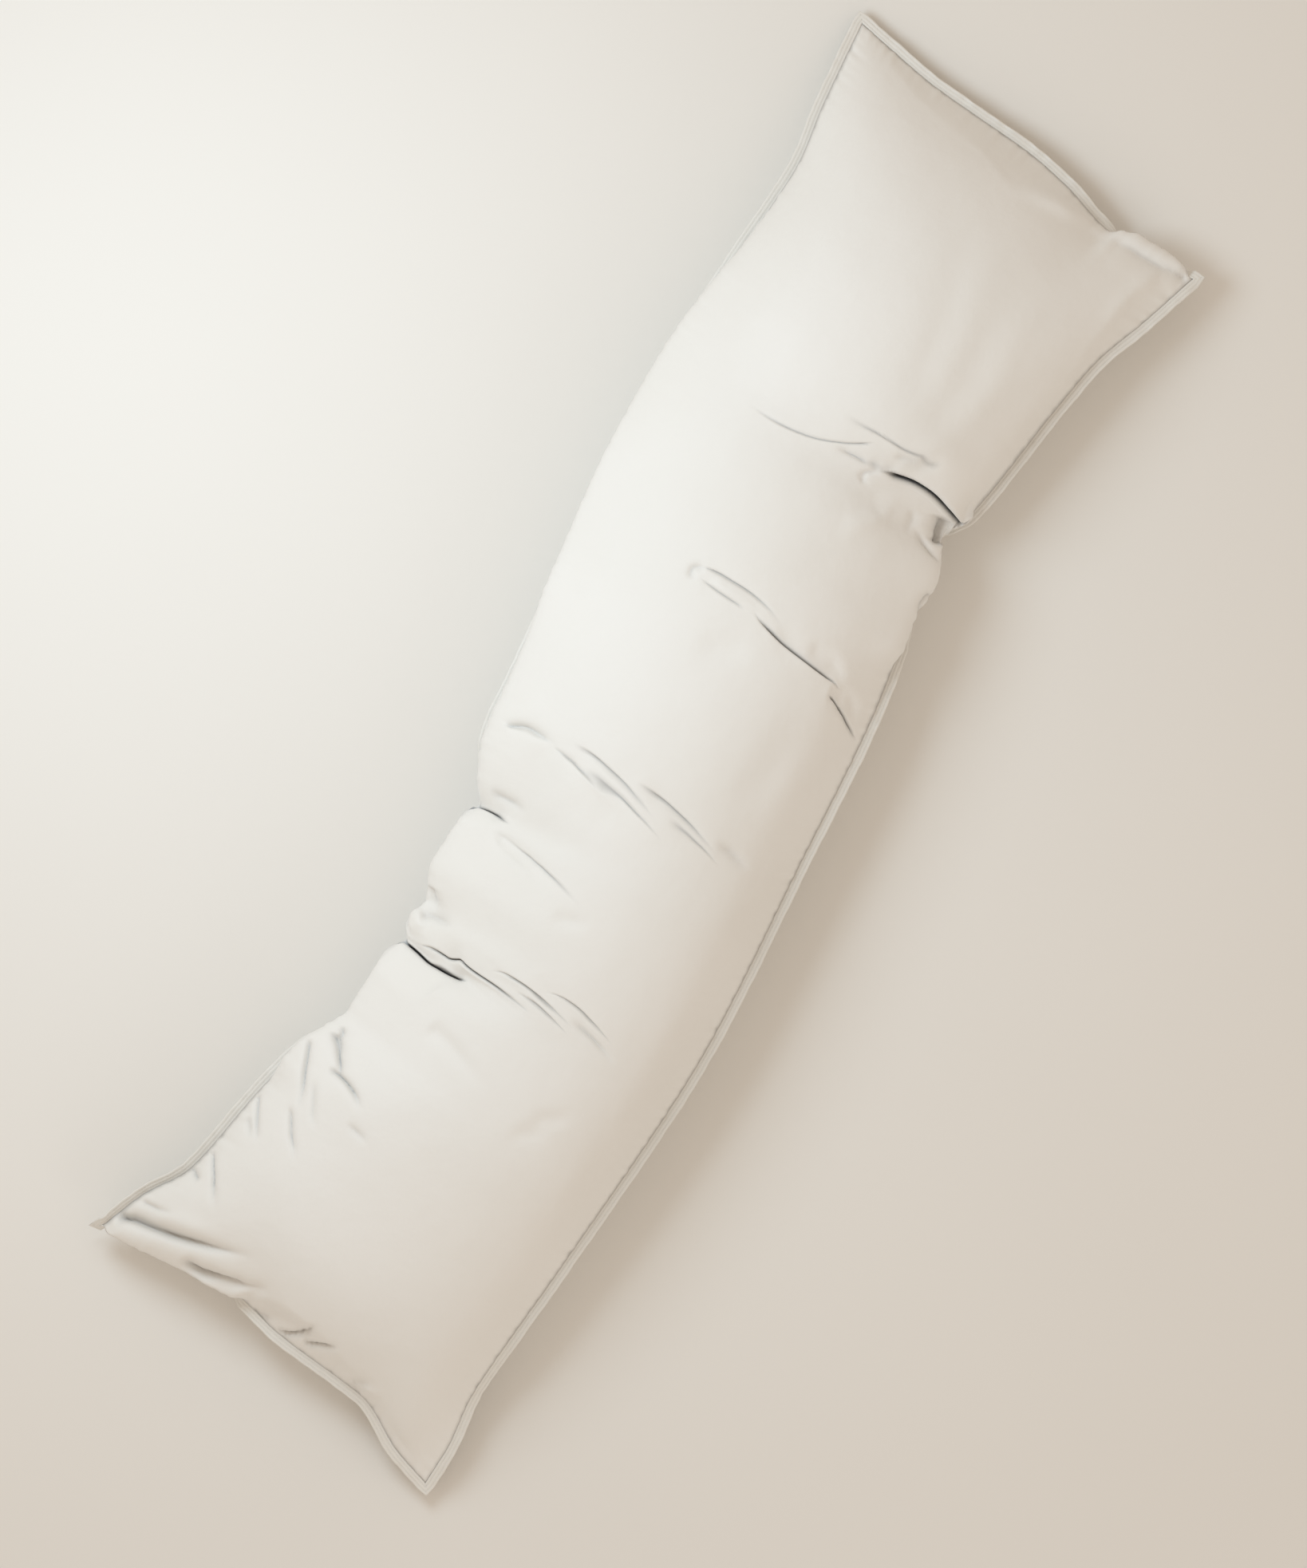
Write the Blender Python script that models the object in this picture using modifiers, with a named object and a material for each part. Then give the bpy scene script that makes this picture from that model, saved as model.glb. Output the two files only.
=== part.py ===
"""Long feather pillow, lying on its back on a flat surface and slumped into a slight S.

Two cotton panels, cut 1.45 m by 0.40 m, are sewn together round the edge and filled with feathers,
and a narrow binding wraps the raw edges. The filling has shifted, so the pillow is bunched into a
deep crease on its north side at one third of its length and on its south side at three quarters.

Frame: +X runs along the pillow, +Y (north) across it and +Z up, with the origin under the middle of
the bounding box. The tables are in millimetres. A place on the flat panel is a station along it and
a distance across it, both from its middle. Where a seam's stations are further apart than its
points, it is bunched.
"""
from collections import namedtuple

import bmesh
import bpy
import numpy as np
from mathutils.geometry import delaunay_2d_cdt

MM = 0.001

# Driving dimensions
PANEL_LENGTH = 1450.0
PANEL_WIDTH = 400.0
BINDING_WIDTH = 9.0
BINDING_THICKNESS = 2.2
SEAM_GAP = 0.35

# How the filling rounds the pillow between its seams
ACROSS_POWER = 2.2
TOP_FULLNESS = 0.62
BELLY_FULLNESS = 0.60
BELLY_DEPTH = 96.0
END_REACH = 235.0
END_POWER = 2.1
END_FULLNESS = 0.72
REST_SOFTNESS = 3.0
END_CURVE_REACH = 260.0

# How closely the panels are covered with points. The folds get rows of their own.
TOP_STEPS = (96, 24)
BELLY_STEPS = (64, 18)
EDGE_CROWDING = 0.42
GRID_CLEARANCE = 7.0
ROW_OFFSETS = (0, 0.4, -0.4, 0.8, -0.8, 1.3, -1.3, 1.9, -1.9)
ROW_STEP = 0.9
ROW_CLEARANCE = 0.34

# A fold fades out over this last stretch before a seam
SEAM_FREE = 16.0

SeamPoint = namedtuple("SeamPoint", "station x y z")
EndPoint = namedtuple("EndPoint", "across x y z")
CrownPoint = namedtuple("CrownPoint", "station height")
BulgePoint = namedtuple("BulgePoint", "station reach")
FineZone = namedtuple("FineZone", "station half_length closeness")
Fold = namedtuple("Fold", "x0 y0 x1 y1 x2 y2 width height fade_in fade_out")

SOUTH_SEAM = [
    SeamPoint(-725, -691, -192, 14),
    SeamPoint(-690, -657, -192, 26),
    SeamPoint(-620, -590, -184, 42),
    SeamPoint(-480, -452, -190, 60),
    SeamPoint(-270, -245, -197, 70),
    SeamPoint(-20, 3, -176, 74),
    SeamPoint(110, 130, -163, 72),
    SeamPoint(190, 205, -149, 68),
    SeamPoint(235, 247, -139, 62),
    SeamPoint(262, 270, -139, 58),
    SeamPoint(285, 290, -133, 54),
    SeamPoint(308, 304, -125, 49),
    SeamPoint(340, 316, -119, 45),
    SeamPoint(378, 330, -127, 50),
    SeamPoint(408, 345, -136, 56),
    SeamPoint(545, 478, -153, 62),
    SeamPoint(595, 527, -160, 60),
    SeamPoint(663, 590, -180, 50),
    SeamPoint(725, 649, -197, 36),
]

NORTH_SEAM = [
    SeamPoint(-725, -647, 196, 28),
    SeamPoint(-674, -600, 177, 34),
    SeamPoint(-625, -557, 153, 38),
    SeamPoint(-522, -455, 136, 44),
    SeamPoint(-467, -402, 123, 46),
    SeamPoint(-435, -375, 106, 44),
    SeamPoint(-408, -352, 92, 42),
    SeamPoint(-346, -290, 92, 40),
    SeamPoint(-310, -266, 80, 38),
    SeamPoint(-260, -250, 90, 40),
    SeamPoint(-232, -226, 86, 42),
    SeamPoint(-194, -190, 100, 44),
    SeamPoint(-142, -140, 99, 44),
    SeamPoint(-118, -124, 93, 42),
    SeamPoint(-80, -100, 112, 46),
    SeamPoint(-36, -62, 134, 50),
    SeamPoint(26, 0, 142, 52),
    SeamPoint(127, 100, 156, 54),
    SeamPoint(268, 240, 175, 56),
    SeamPoint(358, 330, 179, 56),
    SeamPoint(458, 430, 176, 54),
    SeamPoint(558, 530, 173, 46),
    SeamPoint(631, 602, 184, 34),
    SeamPoint(725, 688, 195, 12),
]

WEST_END = [
    EndPoint(-200, -691, -192, 14),
    EndPoint(-160, -679, -153, 22),
    EndPoint(-100, -652, -97, 34),
    EndPoint(0, -644, 0, 40),
    EndPoint(50, -633, 52, 38),
    EndPoint(90, -628, 90, 36),
    EndPoint(150, -636, 150, 32),
    EndPoint(200, -647, 196, 28),
]

EAST_END = [
    EndPoint(-200, 649, -197, 36),
    EndPoint(-140, 641, -138, 32),
    EndPoint(-100, 646, -98, 28),
    EndPoint(-50, 660, -50, 26),
    EndPoint(0, 668, 0, 24),
    EndPoint(60, 671, 60, 20),
    EndPoint(100, 673, 100, 18),
    EndPoint(150, 680, 150, 15),
    EndPoint(200, 688, 195, 12),
]

CROWN = [
    CrownPoint(-725, 120),
    CrownPoint(-560, 126),
    CrownPoint(-420, 142),
    CrownPoint(-300, 144),
    CrownPoint(-180, 150),
    CrownPoint(-40, 152),
    CrownPoint(120, 154),
    CrownPoint(280, 148),
    CrownPoint(360, 142),
    CrownPoint(450, 150),
    CrownPoint(600, 136),
    CrownPoint(725, 118),
]

# How far the top panel swells out beyond its seam
NORTH_BULGE = [
    BulgePoint(-725, 0),
    BulgePoint(-520, 1),
    BulgePoint(-450, 8),
    BulgePoint(-400, 15),
    BulgePoint(-130, 15),
    BulgePoint(-70, 8),
    BulgePoint(-30, 3),
    BulgePoint(50, 4),
    BulgePoint(120, 9),
    BulgePoint(380, 8),
    BulgePoint(470, 2),
    BulgePoint(725, 0),
]

SOUTH_BULGE = [
    BulgePoint(-725, 0),
    BulgePoint(150, 0),
    BulgePoint(210, 4),
    BulgePoint(320, 8),
    BulgePoint(400, 4),
    BulgePoint(440, 0),
    BulgePoint(725, 0),
]

# Stretches where the seams are bunched, so that their points are closer together there
FINE_ZONES = [
    FineZone(-285, 45, 1.8),
    FineZone(-130, 30, 1.0),
    FineZone(345, 50, 1.8),
]

# The main folds of the top panel. Seen from above, each runs from (x0, y0) past (x1, y1) to (x2, y2).
# It is a ridge where its height is above zero and a crease where it is below. Its width is measured
# on the flat panel, and it fades in and out over these shares of its length.
FOLDS = [
    # the deep crease on the north side, its rolled lip and the creases that run out of it
    Fold(-262, 100, -277, 68, -268, 12, 12, -34, 0.02, 0.45),
    Fold(-262, 100, -268, 40, -258, -60, 36, -16, 0.02, 0.50),
    Fold(-244, 98, -256, 62, -258, 15, 11, 12, 0.15, 0.50),
    Fold(-258, 70, -248, 20, -256, -60, 8, -8, 0.25, 0.40),
    Fold(-236, 20, -232, -50, -246, -110, 10, 5, 0.35, 0.40),
    # the small notch beside it
    Fold(-126, 104, -122, 88, -126, 62, 12, -14, 0.02, 0.60),
    Fold(-138, 90, -138, 40, -156, -25, 14, -5, 0.30, 0.50),
    # the creases across the middle
    Fold(-50, 118, -34, 90, -56, 8, 10, -7, 0.20, 0.40),
    Fold(-28, 62, -34, 15, -60, -52, 9, -8, 0.25, 0.40),
    Fold(-28, -8, -30, -60, -50, -116, 9, -7, 0.30, 0.40),
    # the long crease on the south side of the middle, with the ridge that comes down to it
    Fold(166, 60, 167, 10, 160, -50, 9, 6, 0.30, 0.40),
    Fold(160, 40, 155, -30, 147, -122, 9, -9, 0.30, 0.30),
    Fold(138, -118, 128, -135, 120, -152, 9, -9, 0.30, 0.20),
    # the deep crease on the south side, under the lobe at the head of the pillow
    Fold(318, -126, 350, -98, 332, -36, 14, -38, 0.02, 0.35),
    Fold(320, -130, 345, -70, 325, 10, 40, -18, 0.02, 0.60),
    Fold(322, 92, 328, 20, 358, -28, 9, -5, 0.30, 0.30),
    Fold(362, 16, 364, -40, 372, -90, 10, -5, 0.30, 0.40),
    # the folds that run out of the north-west corner
    Fold(-640, 188, -628, 110, -600, 20, 13, 9, 0.20, 0.50),
    Fold(-622, 186, -612, 110, -590, 45, 11, -8, 0.15, 0.50),
    Fold(-642, 150, -638, 80, -612, 12, 11, -6, 0.20, 0.40),
    # the roll that hides the end seam at the south-east corner
    Fold(634, -184, 630, -120, 622, -20, 22, 9, 0.10, 0.60),
    Fold(606, -180, 594, -110, 592, -20, 26, -7, 0.20, 0.60),
]


def smooth_through(rows, key, column, at):
    """The column's values at the given keys, on a cubic curve through the rows that never overshoots."""
    keys = np.array([getattr(row, key) for row in rows], float)
    values = np.array([getattr(row, column) for row in rows], float)
    spans = np.diff(keys)
    slopes = np.diff(values) / spans
    turns = np.zeros(len(keys))
    same_way = slopes[:-1] * slopes[1:] > 0
    before, after = 2 * spans[1:] + spans[:-1], spans[1:] + 2 * spans[:-1]
    with np.errstate(divide="ignore", invalid="ignore"):
        mean = (before + after) / (before / slopes[:-1] + after / slopes[1:])
    turns[1:-1] = np.where(same_way, mean, 0.0)
    turns[0], turns[-1] = slopes[0], slopes[-1]
    i = np.clip(np.searchsorted(keys, at) - 1, 0, len(spans) - 1)
    q = (at - keys[i]) / spans[i]
    return (
        (1 + 2 * q) * (1 - q) ** 2 * values[i]
        + q * (1 - q) ** 2 * spans[i] * turns[i]
        + q * q * (3 - 2 * q) * values[i + 1]
        + q * q * (q - 1) * spans[i] * turns[i + 1]
    )


def curve_points(rows, key, at):
    return np.stack([smooth_through(rows, key, axis, at) for axis in "xyz"], axis=-1)


def ease(q):
    q = np.clip(q, 0, 1)
    return q * q * (3 - 2 * q)


def unit(vectors):
    return vectors / np.linalg.norm(vectors, axis=1)[:, None]


def rest_on_floor(z):
    """z where it is above the surface and exactly 0 below it, with a soft turn between."""
    turn = (z + REST_SOFTNESS) ** 2 / (4 * REST_SOFTNESS)
    return np.where(z > REST_SOFTNESS, z, np.where(z < -REST_SOFTNESS, 0, turn))


def seam_surface(station, share):
    """The sheet that the four seams span, at a station and at a share of the way from south to north."""
    south = curve_points(SOUTH_SEAM, "station", station)
    north = curve_points(NORTH_SEAM, "station", station)
    sheet = south + (north - south) * share[:, None]
    for rows, end in ((WEST_END, -PANEL_LENGTH / 2), (EAST_END, PANEL_LENGTH / 2)):
        first, last = (np.array([row.x, row.y, row.z], float) for row in (rows[0], rows[-1]))
        bowed = curve_points(rows, "across", (share - 0.5) * PANEL_WIDTH)
        straight = first + (last - first) * share[:, None]
        near = np.clip(1 - np.abs(station - end) / END_CURVE_REACH, 0, 1) ** 2
        sheet += (bowed - straight) * near[:, None]
    return sheet, south, north


def lying_points(places, is_top):
    """Where places on the flat panel lie in the pillow, before its folds."""
    station, share = places[:, 0], places[:, 1] / PANEL_WIDTH + 0.5
    sheet, south, north = seam_surface(station, share)
    across = np.clip(1 - np.abs(2 * share - 1) ** ACROSS_POWER, 0, 1)
    to_end = np.clip((PANEL_LENGTH / 2 - np.abs(station)) / END_REACH, 0, 1)
    along = (1 - (1 - to_end) ** END_POWER) ** END_FULLNESS
    if not is_top:
        sheet[:, 2] -= BELLY_DEPTH * across**BELLY_FULLNESS * along
        sheet[:, 2] = rest_on_floor(sheet[:, 2])
        return sheet
    seam_height = (south[:, 2] + north[:, 2]) / 2
    crown = smooth_through(CROWN, "station", "height", station)
    sheet[:, 2] += (crown - seam_height) * across**TOP_FULLNESS * along
    side = (north - south)[:, :2]
    width = np.linalg.norm(side, axis=1)
    side /= width[:, None]
    for rows, sign, inward in ((SOUTH_BULGE, -1, share), (NORTH_BULGE, 1, 1 - share)):
        reach = smooth_through(rows, "station", "reach", station)
        inward = inward * width / 10.0
        push = np.where(reach > 0, (reach + 9) * ease(reach / 3), 0) * inward * np.exp(1 - inward)
        sheet[:, :2] += side * (sign * push * np.minimum(along * 1.2, 1))[:, None]
    return sheet


def stations_of(along):
    """Spreads 0..1 over the panel's length, closer together in the fine zones."""
    fine = np.linspace(-PANEL_LENGTH / 2, PANEL_LENGTH / 2, 2001)
    density = np.ones_like(fine)
    for zone in FINE_ZONES:
        density += zone.closeness * np.exp(-(((fine - zone.station) / zone.half_length) ** 2))
    total = np.concatenate([[0], np.cumsum((density[1:] + density[:-1]) / 2)])
    return np.interp(along, total / total[-1], fine)


def spread(steps):
    """Stations along the panel and distances across it, closer together towards the seams."""
    q = np.linspace(0, 1, steps[1] + 1)
    crowded = (1 - EDGE_CROWDING) * q + EDGE_CROWDING * (1 - np.cos(np.pi * q)) / 2
    return stations_of(np.linspace(0, 1, steps[0] + 1)), (crowded - 0.5) * PANEL_WIDTH


def edge_places():
    """Places round the edge of the flat panel, in order."""
    stations, across = spread(TOP_STEPS)
    south = [(s, across[0]) for s in stations[:-1]]
    east = [(stations[-1], a) for a in across[:-1]]
    north = [(s, across[-1]) for s in stations[:0:-1]]
    west = [(stations[0], a) for a in across[:0:-1]]
    return np.array(south + east + north + west)


def corner_places():
    """One place just inside each corner, so that no triangle cuts a corner off."""
    stations, across = spread(TOP_STEPS)
    return [
        (0.4 * stations[i] + 0.6 * stations[inner_i], 0.4 * across[j] + 0.6 * across[inner_j])
        for i, inner_i in ((0, 1), (-1, -2))
        for j, inner_j in ((0, 1), (-1, -2))
    ]


def fold_lines():
    """Each fold's bent line on the flat panel, found under the points where it is seen."""
    stations, across = np.linspace(-720, 720, 401), np.linspace(-196, 196, 121)
    table = np.stack(np.meshgrid(stations, across), axis=-1).reshape(-1, 2)
    lying = lying_points(table, True)
    q = np.linspace(0, 1, 25)[:, None]
    lines = []
    for fold in FOLDS:
        start, past, end = (
            table[np.argmin(np.hypot(*(lying[:, :2] - seen).T) - 0.05 * lying[:, 2])]
            for seen in np.array(fold[:6], float).reshape(3, 2)
        )
        handle = 2 * past - (start + end) / 2
        lines.append((1 - q) ** 2 * start + 2 * q * (1 - q) * handle + q * q * end)
    return lines


def nearest_on(line, places):
    """Each place's distance from the line, and how far along the line that is."""
    best = np.full(len(places), np.inf)
    along = np.zeros(len(places))
    for i, (a, b) in enumerate(zip(line, line[1:])):
        q = np.clip(((places - a) @ (b - a)) / ((b - a) @ (b - a)), 0, 1)
        distance = np.linalg.norm(places - a - q[:, None] * (b - a), axis=1)
        along = np.where(distance < best, (i + q) / (len(line) - 1), along)
        best = np.minimum(distance, best)
    return best, along


def row_places(line, width):
    """Rows of places along a fold: on its line and down both its slopes."""
    lengths = np.concatenate([[0], np.cumsum(np.linalg.norm(np.diff(line, axis=0), axis=1))])
    at = np.linspace(0, lengths[-1], max(3, round(lengths[-1] / (ROW_STEP * width))))
    middle = np.stack([np.interp(at, lengths, line[:, i]) for i in (0, 1)], axis=1)
    run = unit(np.gradient(middle, axis=0))
    side = np.stack([-run[:, 1], run[:, 0]], axis=1)
    return np.concatenate([middle + side * offset * width for offset in ROW_OFFSETS])


def kept_apart(kept, places, clearance):
    """The kept places with those of the others that are at least the clearance away from them all."""
    kept = [tuple(place) for place in kept]
    inner = np.array([PANEL_LENGTH, PANEL_WIDTH]) / 2 - 4
    for place in places:
        if np.all(np.abs(place) < inner):
            if np.hypot(*(np.array(kept) - place).T).min() > clearance:
                kept.append(tuple(place))
    return kept


def top_places(lines):
    places = kept_apart(edge_places(), corner_places(), 0.5)
    for fold, line in sorted(zip(FOLDS, lines), key=lambda pair: pair[0].width):
        if fold.width < 20:
            places = kept_apart(places, row_places(line, fold.width), ROW_CLEARANCE * fold.width)
    stations, across = spread(TOP_STEPS)
    grid = np.stack(np.meshgrid(stations, across), axis=-1).reshape(-1, 2)
    return kept_apart(places, grid, GRID_CLEARANCE)


def belly_places():
    places = kept_apart(edge_places(), corner_places(), 0.5)
    stations, across = spread(BELLY_STEPS)
    grid = np.stack(np.meshgrid(stations, across), axis=-1).reshape(-1, 2)
    return kept_apart(places, grid, GRID_CLEARANCE)


def triangles_over(places):
    """The triangles that join the places on the flat panel, and the places as the triangles use them."""
    joined = delaunay_2d_cdt([tuple(place) for place in places], [], [], 0, 0.0001)
    return np.array([tuple(place) for place in joined[0]]), joined[2]


def surface(places, is_top):
    """The points and triangles of one panel, facing outwards."""
    places, triangles = triangles_over(places)
    if not is_top:
        triangles = [tuple(reversed(corners)) for corners in triangles]
    return places, lying_points(places, is_top), triangles


def evened_normals(points, triangles, rounds=4):
    """The points' normals, evened out over their neighbours so that a fold keeps one direction."""
    corners = np.array(triangles)
    a, b, c = (points[corners[:, i]] for i in range(3))
    facing = np.cross(b - a, c - a)
    normals = np.zeros_like(points)
    for i in range(3):
        np.add.at(normals, corners[:, i], facing)
    normals = unit(normals)
    for _ in range(rounds):
        total = normals.copy()
        for i in range(3):
            np.add.at(total, corners[:, i], normals[corners[:, i - 1]])
        normals = unit(total)
    return normals


def folded(places, points, normals, lines):
    """Raises the ridges and presses in the creases, none of them at the seams."""
    to_seam = np.minimum(PANEL_WIDTH / 2 - np.abs(places[:, 1]), PANEL_LENGTH / 2 - np.abs(places[:, 0]))
    free = ease(to_seam / SEAM_FREE)
    lift = unit(normals + [0, 0, 0.8])
    points = points.copy()
    for fold, line in zip(FOLDS, lines):
        distance, along = nearest_on(line, places)
        strength = np.exp(-((distance / fold.width) ** 2))
        strength *= ease(along / fold.fade_in) * ease((1 - along) / fold.fade_out)
        points += lift * (fold.height * strength * free)[:, None]
    return points


def make_pillow(collection, finish):
    """The two panels with the filling between them, as one closed form."""
    lines = fold_lines()
    places, points, triangles = surface(top_places(lines), True)
    points = folded(places, points, evened_normals(points, triangles), lines)
    _, low_points, low_triangles = surface(belly_places(), False)
    mesh = bmesh.new()
    for panel, faces in ((points, triangles), (low_points, low_triangles)):
        verts = [mesh.verts.new(point * MM) for point in panel]
        for corners in faces:
            mesh.faces.new([verts[i] for i in corners])
    bmesh.ops.remove_doubles(mesh, verts=mesh.verts, dist=0.00001)
    resting = [v for v in mesh.verts if v.co.z < 0.000001]
    bmesh.ops.dissolve_limit(
        mesh,
        angle_limit=np.radians(0.05),
        verts=resting,
        edges=[e for e in mesh.edges if all(v.co.z < 0.000001 for v in e.verts)],
    )
    bmesh.ops.triangulate(mesh, faces=mesh.faces)
    return add_object("pillow", mesh, collection, finish)


def evened(vectors, rounds):
    """Evens directions out along a closed loop."""
    for _ in range(rounds):
        vectors = unit(np.roll(vectors, 1, 0) + 2 * vectors + np.roll(vectors, -1, 0))
    return vectors


def outward_of(edge, seam):
    """The direction out of the seam that lies midway between the outsides of the two panels."""
    run = unit(np.roll(seam, -1, 0) - np.roll(seam, 1, 0))
    out = evened(unit(np.stack([run[:, 1], -run[:, 0], np.zeros(len(run))], axis=1)), 3)
    inward = -np.sign(edge) * (np.abs(edge) > np.array([PANEL_LENGTH, PANEL_WIDTH]) / 2 - 0.01)
    free = []
    for is_top in (True, False):
        angles = []
        for inset in (2, 4, 7, 10, 14):
            panel = lying_points(edge + inward * inset, is_top) - seam
            angles.append(np.arctan2(np.abs(panel[:, 2]), (panel * out).sum(axis=1)))
        free.append(np.min(angles, axis=0))
    middle = (free[0] - free[1]) / 2
    direction = out * np.cos(middle)[:, None]
    direction[:, 2] = np.sin(middle)
    return evened(direction, 3)


def make_binding(collection, finish):
    """The strip that wraps the raw edges: a flat band that stands out midway between the panels."""
    edge = edge_places()
    seam = lying_points(edge, True)
    outward = outward_of(edge, seam)
    band = bmesh.new()
    inner, outer = (
        [band.verts.new(point) for point in (seam + outward * reach) * MM]
        for reach in (SEAM_GAP, SEAM_GAP + BINDING_WIDTH)
    )
    for i in range(len(seam)):
        band.faces.new((inner[i - 1], inner[i], outer[i], outer[i - 1]))
    bmesh.ops.recalc_face_normals(band, faces=band.faces)
    binding = add_object("edge_binding", band, collection, finish)
    solid = binding.modifiers.new("thickness", "SOLIDIFY")
    solid.thickness = BINDING_THICKNESS * MM
    solid.offset = 0
    return binding


def cotton(name, colour, roughness):
    made = bpy.data.materials.new(name)
    made.use_nodes = True
    shader = made.node_tree.nodes["Principled BSDF"]
    shader.inputs["Base Color"].default_value = (*colour, 1)
    shader.inputs["Roughness"].default_value = roughness
    shader.inputs["Metallic"].default_value = 0
    return made


def add_object(name, mesh, collection, finish):
    data = bpy.data.meshes.new(name)
    mesh.to_mesh(data)
    mesh.free()
    obj = bpy.data.objects.new(name, data)
    collection.objects.link(obj)
    data.materials.append(finish)
    return obj


def centre_over_origin(objects):
    """Moves the meshes so that the middle of their box is over the origin and they rest on z = 0."""
    bpy.context.view_layer.update()
    graph = bpy.context.evaluated_depsgraph_get()
    corners = np.array([c for o in objects for c in o.evaluated_get(graph).bound_box])
    low, high = corners.min(axis=0), corners.max(axis=0)
    shift = -np.array([(low[0] + high[0]) / 2, (low[1] + high[1]) / 2, low[2]])
    for obj in objects:
        for vert in obj.data.vertices:
            vert.co = vert.co + type(vert.co)(shift)
    print("box", np.round((high - low) / MM, 1), "shift", np.round(shift / MM, 2))


def main():
    for obj in list(bpy.data.objects):
        bpy.data.objects.remove(obj)
    collection = bpy.data.collections.new("feather_pillow")
    bpy.context.scene.collection.children.link(collection)
    pillow = make_pillow(collection, cotton("pillow_cotton", (0.84, 0.82, 0.77), 0.62))
    binding = make_binding(collection, cotton("binding_cotton", (0.78, 0.75, 0.69), 0.75))
    centre_over_origin([pillow, binding])


main()
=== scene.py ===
# %% [markdown]
# # A long feather pillow
#
# This lesson dresses a plain solid as a real pillow: two panels of down-proof cotton, cut 1.45 m by
# 0.40 m, sewn together round the edge, filled with feathers and bound with a narrow tape. The pillow
# lies slumped, so most of the work goes into the way its cloth is folded.
#
# The solid is loaded first and stays fixed. Everything that is made here is measured against it.

# %% Load the solid
import math
from collections import namedtuple

import bpy
import numpy as np
from mathutils import Matrix, Vector


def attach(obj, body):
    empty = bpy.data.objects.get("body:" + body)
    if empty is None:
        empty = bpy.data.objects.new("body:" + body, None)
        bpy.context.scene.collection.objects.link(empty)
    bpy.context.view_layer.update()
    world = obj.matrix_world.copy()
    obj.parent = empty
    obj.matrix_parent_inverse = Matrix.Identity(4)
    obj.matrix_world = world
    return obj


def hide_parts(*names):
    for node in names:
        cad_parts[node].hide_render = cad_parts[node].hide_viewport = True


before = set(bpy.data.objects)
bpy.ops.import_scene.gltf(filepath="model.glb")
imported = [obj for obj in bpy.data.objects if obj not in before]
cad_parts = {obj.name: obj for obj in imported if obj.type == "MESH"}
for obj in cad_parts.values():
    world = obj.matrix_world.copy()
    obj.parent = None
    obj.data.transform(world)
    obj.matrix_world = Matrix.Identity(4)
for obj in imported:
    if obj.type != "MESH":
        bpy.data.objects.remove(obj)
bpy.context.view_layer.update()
MM = 0.001

# %% [markdown]
# ## The seam
#
# A pillow is drawn by its seam. The four edges of the flat panels are curves in space, and each row
# below says which station of the flat edge lies at which point, in millimetres. Where the stations are
# further apart than the points, the cloth is bunched, and that is where the real pillow folds. A
# spreadsheet-like table is easier to adjust than a dragged curve, so the shape is kept as tables.

# %% Where the seam lies
PANEL_LENGTH, PANEL_WIDTH = 1450.0, 400.0
HALF_LENGTH, HALF_WIDTH = PANEL_LENGTH / 2, PANEL_WIDTH / 2
SeamPoint = namedtuple("SeamPoint", "flat x y z")


def rows_of(kind, rows):
    return [kind(*row) for row in rows]


SOUTH_SEAM = rows_of(SeamPoint, [
    (-725, -691, -192, 14), (-690, -657, -192, 26), (-620, -590, -184, 42), (-480, -452, -190, 60),
    (-270, -245, -197, 70), (-20, 3, -176, 74), (110, 130, -163, 72), (190, 205, -149, 68),
    (235, 247, -139, 62), (262, 270, -139, 58), (285, 290, -133, 54), (308, 304, -125, 49),
    (340, 316, -119, 45), (378, 330, -127, 50), (408, 345, -136, 56), (545, 478, -153, 62),
    (595, 527, -160, 60), (663, 590, -180, 50), (725, 649, -197, 36),
])
NORTH_SEAM = rows_of(SeamPoint, [
    (-725, -647, 196, 28), (-674, -600, 177, 34), (-625, -557, 153, 38), (-522, -455, 136, 44),
    (-467, -402, 123, 46), (-435, -375, 106, 44), (-408, -352, 92, 42), (-346, -290, 92, 40),
    (-310, -266, 80, 38), (-260, -250, 90, 40), (-232, -226, 86, 42), (-194, -190, 100, 44),
    (-142, -140, 99, 44), (-118, -124, 93, 42), (-80, -100, 112, 46), (-36, -62, 134, 50),
    (26, 0, 142, 52), (127, 100, 156, 54), (268, 240, 175, 56), (358, 330, 179, 56),
    (458, 430, 176, 54), (558, 530, 173, 46), (631, 602, 184, 34), (725, 688, 195, 12),
])
WEST_SEAM = rows_of(SeamPoint, [
    (-200, -691, -192, 14), (-160, -679, -153, 22), (-100, -652, -97, 34), (0, -644, 0, 40),
    (50, -633, 52, 38), (90, -628, 90, 36), (150, -636, 150, 32), (200, -647, 196, 28),
])
EAST_SEAM = rows_of(SeamPoint, [
    (-200, 649, -197, 36), (-140, 641, -138, 32), (-100, 646, -98, 28), (-50, 660, -50, 26),
    (0, 668, 0, 24), (60, 671, 60, 20), (100, 673, 100, 18), (150, 680, 150, 15), (200, 688, 195, 12),
])


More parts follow.
